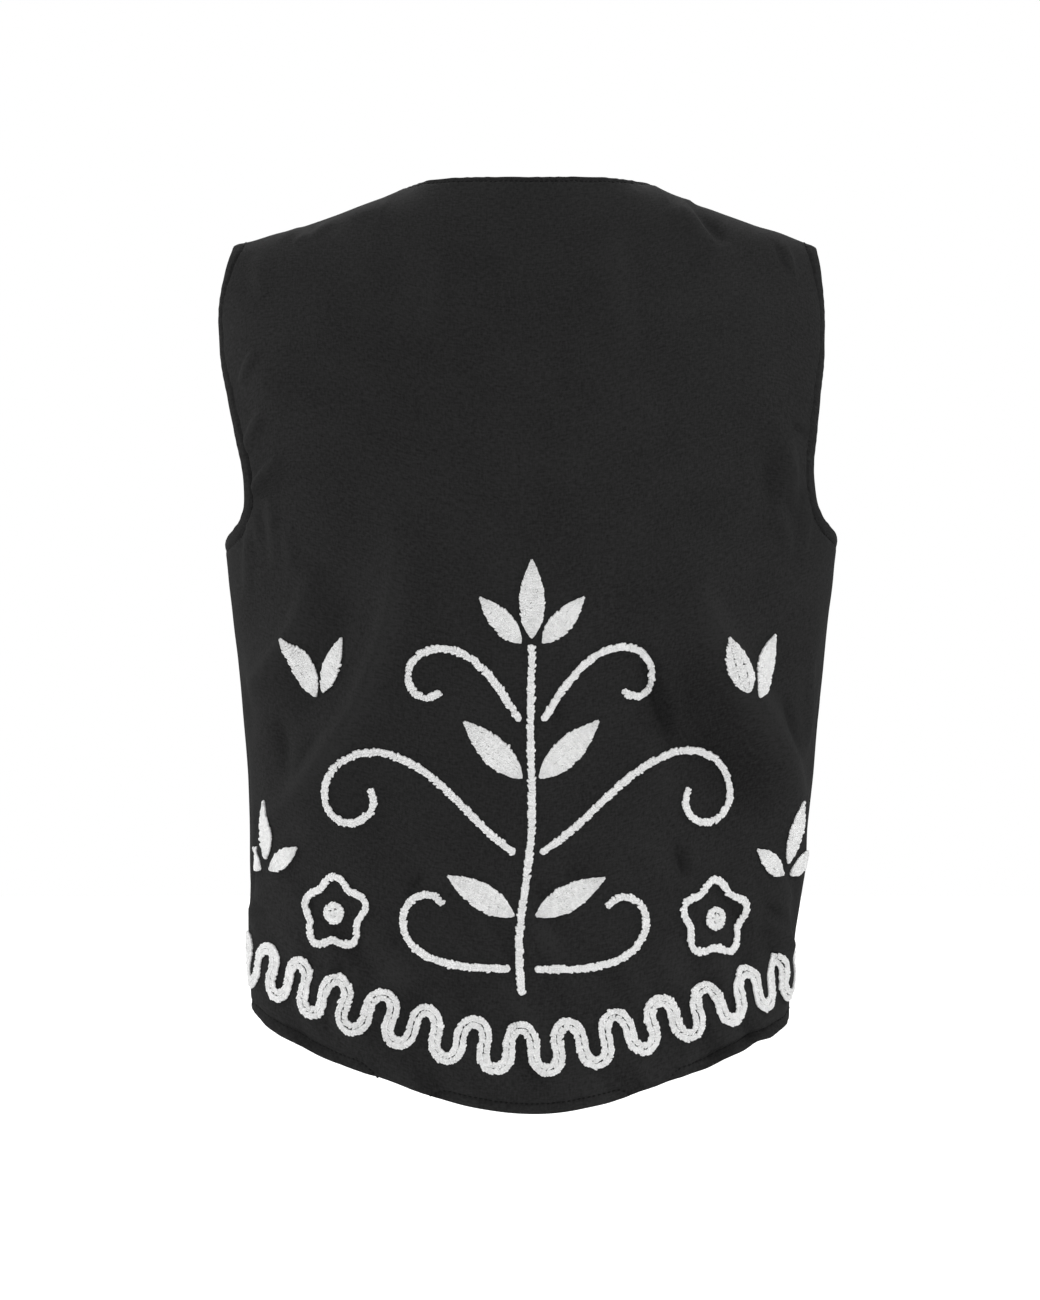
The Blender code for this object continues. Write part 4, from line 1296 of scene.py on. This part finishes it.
def topstitch_row(cut, edge, far_side=False):
    """Evenly spaced places along the channel of one edge."""
    gap = from_edge(cut.stitched[edge], edge, far_side) - SEWN[edge].stitch_in
    crossing = (gap[:, :-1] < 0.0) & (gap[:, 1:] >= 0.0)
    for other in SEWN:
        if other in cut.stitched and other != edge:
            beyond = from_edge(cut.stitched[other], edge, far_side) >= SEWN[other].stitch_in
            crossing = crossing & beyond[:, :-1]
    line = np.nonzero(crossing.any(axis=1))[0]
    step = crossing[line].argmax(axis=1)
    t = (gap[line, step] / (gap[line, step] - gap[line, step + 1]))[:, None]
    outer = from_edge(cut.outer, edge, far_side)
    ups = from_edge(cut.normals, edge, far_side)
    spots = outer[line, step] * (1.0 - t) + outer[line, step + 1] * t
    ups = ups[line, step] * (1.0 - t) + ups[line, step + 1] * t
    breaks = np.nonzero(np.diff(line) > 1)[0] + 1
    runs = [(s, u) for s, u in zip(np.split(spots, breaks), np.split(ups, breaks)) if len(s) > 3]
    return gather([stitch_run(*part) for part in runs])


def topstitch(name, cut, *edges):
    """The machine stitches of one panel, edge after edge, as one piece."""
    rows = gather([topstitch_row(cut, *edge) for edge in edges])
    print(name, len(rows.spots), "machine stitches")
    return joined_copies(name, machine_stitch, rows, black_thread, "cotton_black")


thread_bm = bmesh.new()
rounded_thread(thread_bm, MACHINE_STITCH, sides=6, rings=4)
machine_stitch = mesh_from(thread_bm, "machine_stitch")

BACK_EDGES = (("hem",), ("neck",), ("armhole",), ("armhole", True))
FRONT_EDGES = (("hem",), ("front",), ("armhole", True))
back_topstitch = topstitch("back_topstitching", back_cut, *BACK_EDGES)
left_topstitch = topstitch("front_left_topstitching", left_cut, *FRONT_EDGES)
right_topstitch = topstitch("front_right_topstitching", right_cut, *FRONT_EDGES)

# %% [markdown]
# ## Embroidery
#
# Thick white yarn is chain stitched in rows: two rows side by side in the hem border, single rows in the
# stem and scrolls, and rows close together to fill a leaf. One could paint a rope pattern on a tube, but
# the light catches each loop of a real row, so every stitch is modelled: two plump legs that lean apart
# and lie over the foot of the next stitch, with a core of yarn between them. The layout is drawn flat, as
# on a pattern sheet, and each stitch is then set down on the cloth below it.

# %% Layout of the embroidery
BORDER_ABOVE_HEM = 0.0390
BORDER_SIDE_DROP = 0.0070
BORDER_WAVE = 0.0296
BORDER_SWING = math.radians(93.0)
BORDER_SIDE_STOP = 0.0060
STEM_FOOT = -0.4930
STEM_TOP = -0.2860
STEM_SWAY = 0.0030
STEM_BENDS = 1.5
TENDRIL_CURL = 1.6
BASE_STEPS = 1201
BORDER_STEPS = 4001
STEM_STEPS = 200
SCROLL_STEPS = 400

Scroll = namedtuple("Scroll", "root_across root_height heading length first_turn last_turn")
SCROLLS = (
    Scroll(0.0075, -0.3290, 58.0, 0.122, 0.0, 104.0),
    Scroll(0.0085, -0.4090, 34.0, 0.208, -7.0, 84.0),
    Scroll(0.0085, -0.4790, 2.0, 0.112, 2.0, -98.0),
)

Leaf = namedtuple("Leaf", "across height heading length half_width")
LEAVES = (
    Leaf(0.0000, -0.2800, 90.0, 0.046, 0.0074),
    Leaf(0.0068, -0.2830, 48.0, 0.036, 0.0064),
    Leaf(0.0056, -0.3640, 44.0, 0.048, 0.0080),
    Leaf(0.0070, -0.4470, 30.0, 0.046, 0.0076),
    Leaf(0.1350, -0.3150, 62.0, 0.040, 0.0070),
    Leaf(0.1290, -0.3120, 112.0, 0.034, 0.0062),
    Leaf(0.1740, -0.4160, 84.0, 0.036, 0.0064),
    Leaf(0.1800, -0.4230, 28.0, 0.026, 0.0056),
    Leaf(0.1680, -0.4230, 146.0, 0.026, 0.0056),
)

Bloom = namedtuple("Bloom", "across height radius scallop petals")
BLOOM = Bloom(0.1180, -0.4480, 0.0200, 0.0026, 5)
print("layout:", len(SCROLLS), "scrolls,", len(LEAVES) - 1, "leaves and a bloom a side, and a crown leaf")


# %% Flat lines of the layout
def flat_sides(path):
    """Unit sideways directions along a flat line."""
    ahead = unit(np.gradient(path, axis=0))
    return np.stack((-ahead[:, 1], ahead[:, 0]), axis=1)


def border_line():
    """Hem border: an even meander along a line that keeps its distance from the hem."""
    girth = float(half_width(HEM_CORNER)) * QUARTER_ARC
    s = np.linspace(-girth, girth, BASE_STEPS)
    part = np.abs(s) / girth
    base = np.stack((s, back_hem(part) + BORDER_ABOVE_HEM - BORDER_SIDE_DROP * part ** 2), axis=1)
    run = run_along(base)
    span = run[-1] - 2.0 * BORDER_SIDE_STOP
    waves = round(span / BORDER_WAVE - 0.5) + 0.5
    swing = BORDER_SWING * np.cos(2.0 * math.pi * waves * np.linspace(0.0, 1.0, BORDER_STEPS))
    ahead = np.cumsum(np.cos(swing))
    aside = np.cumsum(np.sin(swing))
    scale = span / (ahead[-1] - ahead[0])
    ahead = (ahead - ahead[0]) * scale + BORDER_SIDE_STOP
    aside = (aside - 0.5 * (aside.max() + aside.min())) * scale
    sides = spaced_along(ahead, run, flat_sides(base))
    return spaced_along(ahead, run, base) + unit(sides) * aside[:, None]


def stem_line():
    t = np.linspace(0.0, 1.0, STEM_STEPS)
    across = STEM_SWAY * np.sin(2.0 * math.pi * STEM_BENDS * t) * (1.0 - t)
    return np.stack((across, STEM_FOOT + (STEM_TOP - STEM_FOOT) * t), axis=1)


def scroll_line(scroll):
    """A tendril that leaves the stem and curls tighter to its end."""
    t = np.linspace(0.0, 1.0, SCROLL_STEPS)
    step = scroll.length / len(t)
    turn = scroll.first_turn + (scroll.last_turn - scroll.first_turn) * t ** TENDRIL_CURL
    heading = math.radians(scroll.heading) - np.cumsum(turn) * step
    root = np.array((scroll.root_across, scroll.root_height))
    return root + np.stack((np.cumsum(np.cos(heading)), np.cumsum(np.sin(heading))), axis=1) * step


def ring_line(bloom, radius, scallop, steps):
    """A closed line about a flower's middle: scalloped, or a plain ring."""
    turn = np.linspace(0.0, 2.0 * math.pi, steps)
    out = radius + scallop * np.sin(bloom.petals * turn)
    spin = np.stack((np.cos(turn), np.sin(turn)), axis=1)
    return np.array((bloom.across, bloom.height)) + spin * out[:, None]


ROW_SPACING = 0.0038
TIP_WIDTH = 0.0011
LEAF_BELLY = 0.85
LEAF_FULLNESS = 0.8
LEAF_FOOT = 0.015
LEAF_TIP = 0.985
LEAF_STEPS = 80


def leaf_lanes(leaf):
    """Rows side by side from a leaf's foot to its tip, and how wide each is along its length."""
    t = np.linspace(LEAF_FOOT, LEAF_TIP, LEAF_STEPS)
    heading = math.radians(leaf.heading)
    ahead = np.array((math.cos(heading), math.sin(heading)))
    aside = np.array((-ahead[1], ahead[0]))
    swell = leaf.half_width * np.clip(np.sin(math.pi * t ** LEAF_BELLY), 0.0, 1.0) ** LEAF_FULLNESS
    count = max(3, round(2.0 * leaf.half_width / ROW_SPACING))
    width = np.maximum(2.0 * swell / count, TIP_WIDTH)
    middle = np.array((leaf.across, leaf.height)) + np.outer(t * leaf.length, ahead)
    places = [((k + 0.5) / count * 2.0 - 1.0) * swell for k in range(count)]
    return [(middle + np.outer(off, aside), width) for off in places]


print("border", round(float(run_along(border_line())[-1]), 3), "m of double row")

# %% Laying rows on the cloth
NUDGE = 0.002
RAY_START = 0.03
YARN_UNEVENNESS = 1.6
STITCH_PITCH = 0.0016
WIDEST_STRETCH = 1.25

back_tree = BVHTree.FromObject(back_cloth, bpy.context.evaluated_depsgraph_get())


def form_point(across, height):
    """Point of the smooth back at a distance across and a height."""
    girth = half_width(height)
    reach = girth * reach_at(np.abs(across) / (girth * QUARTER_ARC))
    depth = depth_at(reach, height, BACK) + SEAM_GAP / 2.0
    return hang(np.stack((np.sign(across) * reach, depth, height), axis=-1))


def set_down(flat):
    """Points on the creased cloth below flat (across, height) points, and the cloth's normals there."""
    across, height = flat[:, 0], flat[:, 1]
    run_across = form_point(across + NUDGE, height) - form_point(across - NUDGE, height)
    run_up = form_point(across, height + NUDGE) - form_point(across, height - NUDGE)
    outward = unit(np.cross(run_up, run_across))
    spots = []
    ups = []
    for start, away in zip(form_point(across, height) + outward * RAY_START, outward):
        spot, up, _, _ = back_tree.ray_cast(Vector(start), Vector(-away), 2.0 * RAY_START)
        spots.append(spot)
        ups.append(up)
    return np.array(spots), np.array(ups)


KNOT = 0.85
EVEN_REACH = 3


def with_knots(row):
    """The row with a stitch laid crosswise over each end, as the yarn is tied off."""
    ends = row.axes[[0, -1]] * KNOT
    crosswise = np.stack((ends[:, 1], -ends[:, 0], ends[:, 2]), axis=1)
    return gather([row, Places(row.spots[[0, -1]], crosswise, row.shades[[0, -1]])])


def evened(values):
    """A run of values, each averaged with its neighbours."""
    padded = np.pad(values, ((EVEN_REACH, EVEN_REACH), (0, 0)), mode="edge")
    span = 2 * EVEN_REACH + 1
    return sum(padded[k:k + len(values)] for k in range(span)) / span


def chain_row(flat, width, hand, closed=False, filling=False):
    """Chain stitches along a flat line; width is a share of a full row's, wider on folds in a filling."""
    path = flat * np.array((hand, 1.0))
    run = run_along(path)
    count = max(2, round(run[-1] / STITCH_PITCH))
    marks = np.linspace(0.0, run[-1], count + 1)
    marks = marks[:-1] if closed else marks
    spaced = spaced_along(marks, run, path)
    widths = np.interp(marks, run, np.broadcast_to(width, run.shape))
    spots, ups = set_down(spaced)
    if filling:
        beside, _ = set_down(spaced + flat_sides(spaced) * NUDGE)
        stretch = np.linalg.norm(beside - spots, axis=1, keepdims=True) / NUDGE
        widths = widths * evened(np.clip(stretch, 1.0, WIDEST_STRETCH))[:, 0]
        ups = evened(ups)
    return stitch_places(spots, ups, closed, widths, YARN_UNEVENNESS)


print("back cloth ready for stitches", STITCH_PITCH * 1000.0, "mm apart")

# %% One chain stitch
LEG_SIZE = (0.0030, 0.0018, 0.0021)
LEG_ASIDE = 0.00115
LEG_LEAN = math.radians(24.0)
LEG_TILT = math.radians(10.0)
LEG_LIFT = 0.0008
CORE_SIZE = (0.0026, 0.0022, 0.0019)
CORE_LIFT = 0.0007

stitch_bm = bmesh.new()
leg = rounded_thread(stitch_bm, LEG_SIZE, sides=6, rings=4)
bmesh.ops.rotate(stitch_bm, verts=leg, cent=CENTRE, matrix=Matrix.Rotation(-LEG_TILT, 3, "Y"))
bmesh.ops.rotate(stitch_bm, verts=leg, cent=CENTRE, matrix=Matrix.Rotation(LEG_LEAN, 3, "Z"))
bmesh.ops.translate(stitch_bm, verts=leg, vec=(0.0, LEG_ASIDE, LEG_LIFT))
whole = stitch_bm.verts[:] + stitch_bm.edges[:] + stitch_bm.faces[:]
bmesh.ops.mirror(stitch_bm, geom=whole, matrix=Matrix.Identity(4), merge_dist=-1.0, axis="Y")
core = rounded_thread(stitch_bm, CORE_SIZE, sides=5, rings=3)
bmesh.ops.translate(stitch_bm, verts=core, vec=(0.0, 0.0, CORE_LIFT))
bmesh.ops.recalc_face_normals(stitch_bm, faces=stitch_bm.faces[:])
chain_stitch = mesh_from(stitch_bm, "chain_stitch")
print("one chain stitch:", len(chain_stitch.polygons), "faces")

# %% Embroider the back
BORDER_ROW_OFF = 0.00195
BORDER_ROW_WIDTH = 0.95
SINGLE_ROW_WIDTH = 1.12
FULL_ROW = 0.0044
LANE_OVERLAP = 1.30
HEART_RINGS = (0.0013, 0.0049)
BLOOM_STEPS = 240
HEART_STEPS = 120

yarn_pieces = []


def embroider(node, rows):
    """One piece of embroidery in place of its solid."""
    piece = joined_copies(f"{node}_stitches", chain_stitch, gather(rows), white_yarn, "yarn_white", node)
    yarn_pieces.append(piece)


def leaf_rows(leaf, hand):
    shares = [(lane, width / FULL_ROW * LANE_OVERLAP) for lane, width in leaf_lanes(leaf)]
    return [chain_row(lane, share, hand, filling=True) for lane, share in shares]


border = border_line()
border_aside = flat_sides(border) * BORDER_ROW_OFF
embroider("hem_border", [
    chain_row(border + border_aside, BORDER_ROW_WIDTH, 1.0),
    chain_row((border - border_aside)[::-1], BORDER_ROW_WIDTH, 1.0),
])
embroider("stem", [with_knots(chain_row(stem_line(), SINGLE_ROW_WIDTH, 1.0))])
embroider("crown_leaf", leaf_rows(LEAVES[0], 1.0))
for hand, word in ((1.0, "left"), (-1.0, "right")):
    for k, scroll in enumerate(SCROLLS):
        embroider(f"scroll_{k + 1}_{word}", [
            with_knots(chain_row(scroll_line(scroll), SINGLE_ROW_WIDTH, hand))])
    for k, leaf in enumerate(LEAVES[1:]):
        embroider(f"leaf_{k + 1}_{word}", leaf_rows(leaf, hand))
    edge = ring_line(BLOOM, BLOOM.radius, BLOOM.scallop, BLOOM_STEPS)
    embroider(f"bloom_edge_{word}", [chain_row(edge, SINGLE_ROW_WIDTH, hand, True)])
    rings = [ring_line(BLOOM, radius, 0.0, HEART_STEPS) for radius in HEART_RINGS]
    embroider(f"bloom_heart_{word}", [chain_row(ring, 1.0, hand, True) for ring in rings])
yarn_faces = sum(len(piece.data.polygons) for piece in yarn_pieces)
print("embroidery:", len(yarn_pieces), "pieces,", yarn_faces, "faces")

# %% [markdown]
# ## The cut of each panel
#
# A sheet of cloth is known by the size it was cut to before it was sewn. The flat cut is already in each
# panel's UV map, so its width and length are read from there, and its area from the shell's outer face.


# %% State the cut
def state_cut(piece, cut, area, *with_pieces):
    """Print a panel's name with the width, length and area of its cut."""
    width = float(np.ptp(cut.flat[..., 0]))
    length = float(np.ptp(cut.flat[..., 1]))
    print(piece.name, "cut", round(width, 3), "by", round(length, 3), "m,", round(area, 3), "m2")


state_cut(back_cloth, back_cut, back_area, back_topstitch, *yarn_pieces)
state_cut(left_cloth, left_cut, left_area, left_topstitch)
state_cut(right_cloth, right_cut, right_area, right_topstitch)

# %% [markdown]
# ## Studio
#
# Black cloth lit from the camera looks flat, because its folds show only where light skims them. So the
# lamps stand beside and above the garment, a low one lifts the hem, and one behind draws a thin rim along
# the shoulders and lights the fronts. The white surround gives the even tone, and the pale floor runs into
# it, as on a studio's white sweep.

# %% Floor
FLOOR_HEIGHT = -1.05
FLOOR_RADIUS = 12.0
FLOOR_GLOW = 0.90

floor_bm = bmesh.new()
bmesh.ops.create_circle(floor_bm, cap_ends=True, segments=96, radius=FLOOR_RADIUS)
bmesh.ops.translate(floor_bm, verts=floor_bm.verts[:], vec=(0.0, 0.0, FLOOR_HEIGHT))
floor_mesh = mesh_from(floor_bm, "studio_floor")
floor_finish, floor_tree, floor_shader = new_material("studio_floor")
floor_shader.inputs["Base Color"].default_value = (0.80, 0.80, 0.80, 1.0)
floor_shader.inputs["Roughness"].default_value = 0.9
floor_shader.inputs["Emission Color"].default_value = (1.0, 1.0, 1.0, 1.0)
floor_seen = floor_tree.nodes.new("ShaderNodeLightPath")
floor_glow = math_node(floor_tree, "MULTIPLY", floor_seen.outputs["Is Camera Ray"], FLOOR_GLOW)
floor_tree.links.new(floor_glow, floor_shader.inputs["Emission Strength"])
floor_mesh.materials.append(floor_finish)
floor = put("studio_floor", floor_mesh)
print("floor", FLOOR_HEIGHT, "m")

# %% Lamps and surround
Lamp = namedtuple("Lamp", "name place power size")
LAMPS = (
    Lamp("side_left", (2.90, -0.20, 0.30), 23.0, 1.0),
    Lamp("high_left", (2.30, -0.60, 1.50), 25.0, 1.0),
    Lamp("high_right", (-2.00, 0.35, 1.60), 32.0, 1.0),
    Lamp("low", (0.0, 1.50, -0.98), 13.0, 1.2),
    Lamp("behind", (0.0, -2.30, 1.90), 36.0, 1.2),
)
AIM = Vector((0.0, 0.0, -0.28))
SURROUND = 0.570

for lamp in LAMPS:
    light_data = bpy.data.lights.new(lamp.name, "AREA")
    light_data.energy = lamp.power
    light_data.shape = "DISK"
    light_data.size = lamp.size
    light = put(lamp.name, light_data)
    light.location = lamp.place
    light.rotation_euler = (AIM - Vector(lamp.place)).to_track_quat("-Z", "Y").to_euler()
    light.visible_camera = False

surround = bpy.data.worlds.new("white_surround")
surround.use_nodes = True
surround_tree = surround.node_tree
sky = surround_tree.nodes["Background"]
sky.inputs["Color"].default_value = (1.0, 1.0, 1.0, 1.0)
seen = surround_tree.nodes.new("ShaderNodeLightPath")
strength = math_node(surround_tree, "MULTIPLY_ADD", seen.outputs["Is Camera Ray"], 1.0 - SURROUND, SURROUND)
surround_tree.links.new(strength, sky.inputs["Strength"])
bpy.context.scene.world = surround
bpy.context.scene.view_settings.view_transform = "Standard"
print("lamps:", ", ".join(lamp.name for lamp in LAMPS))
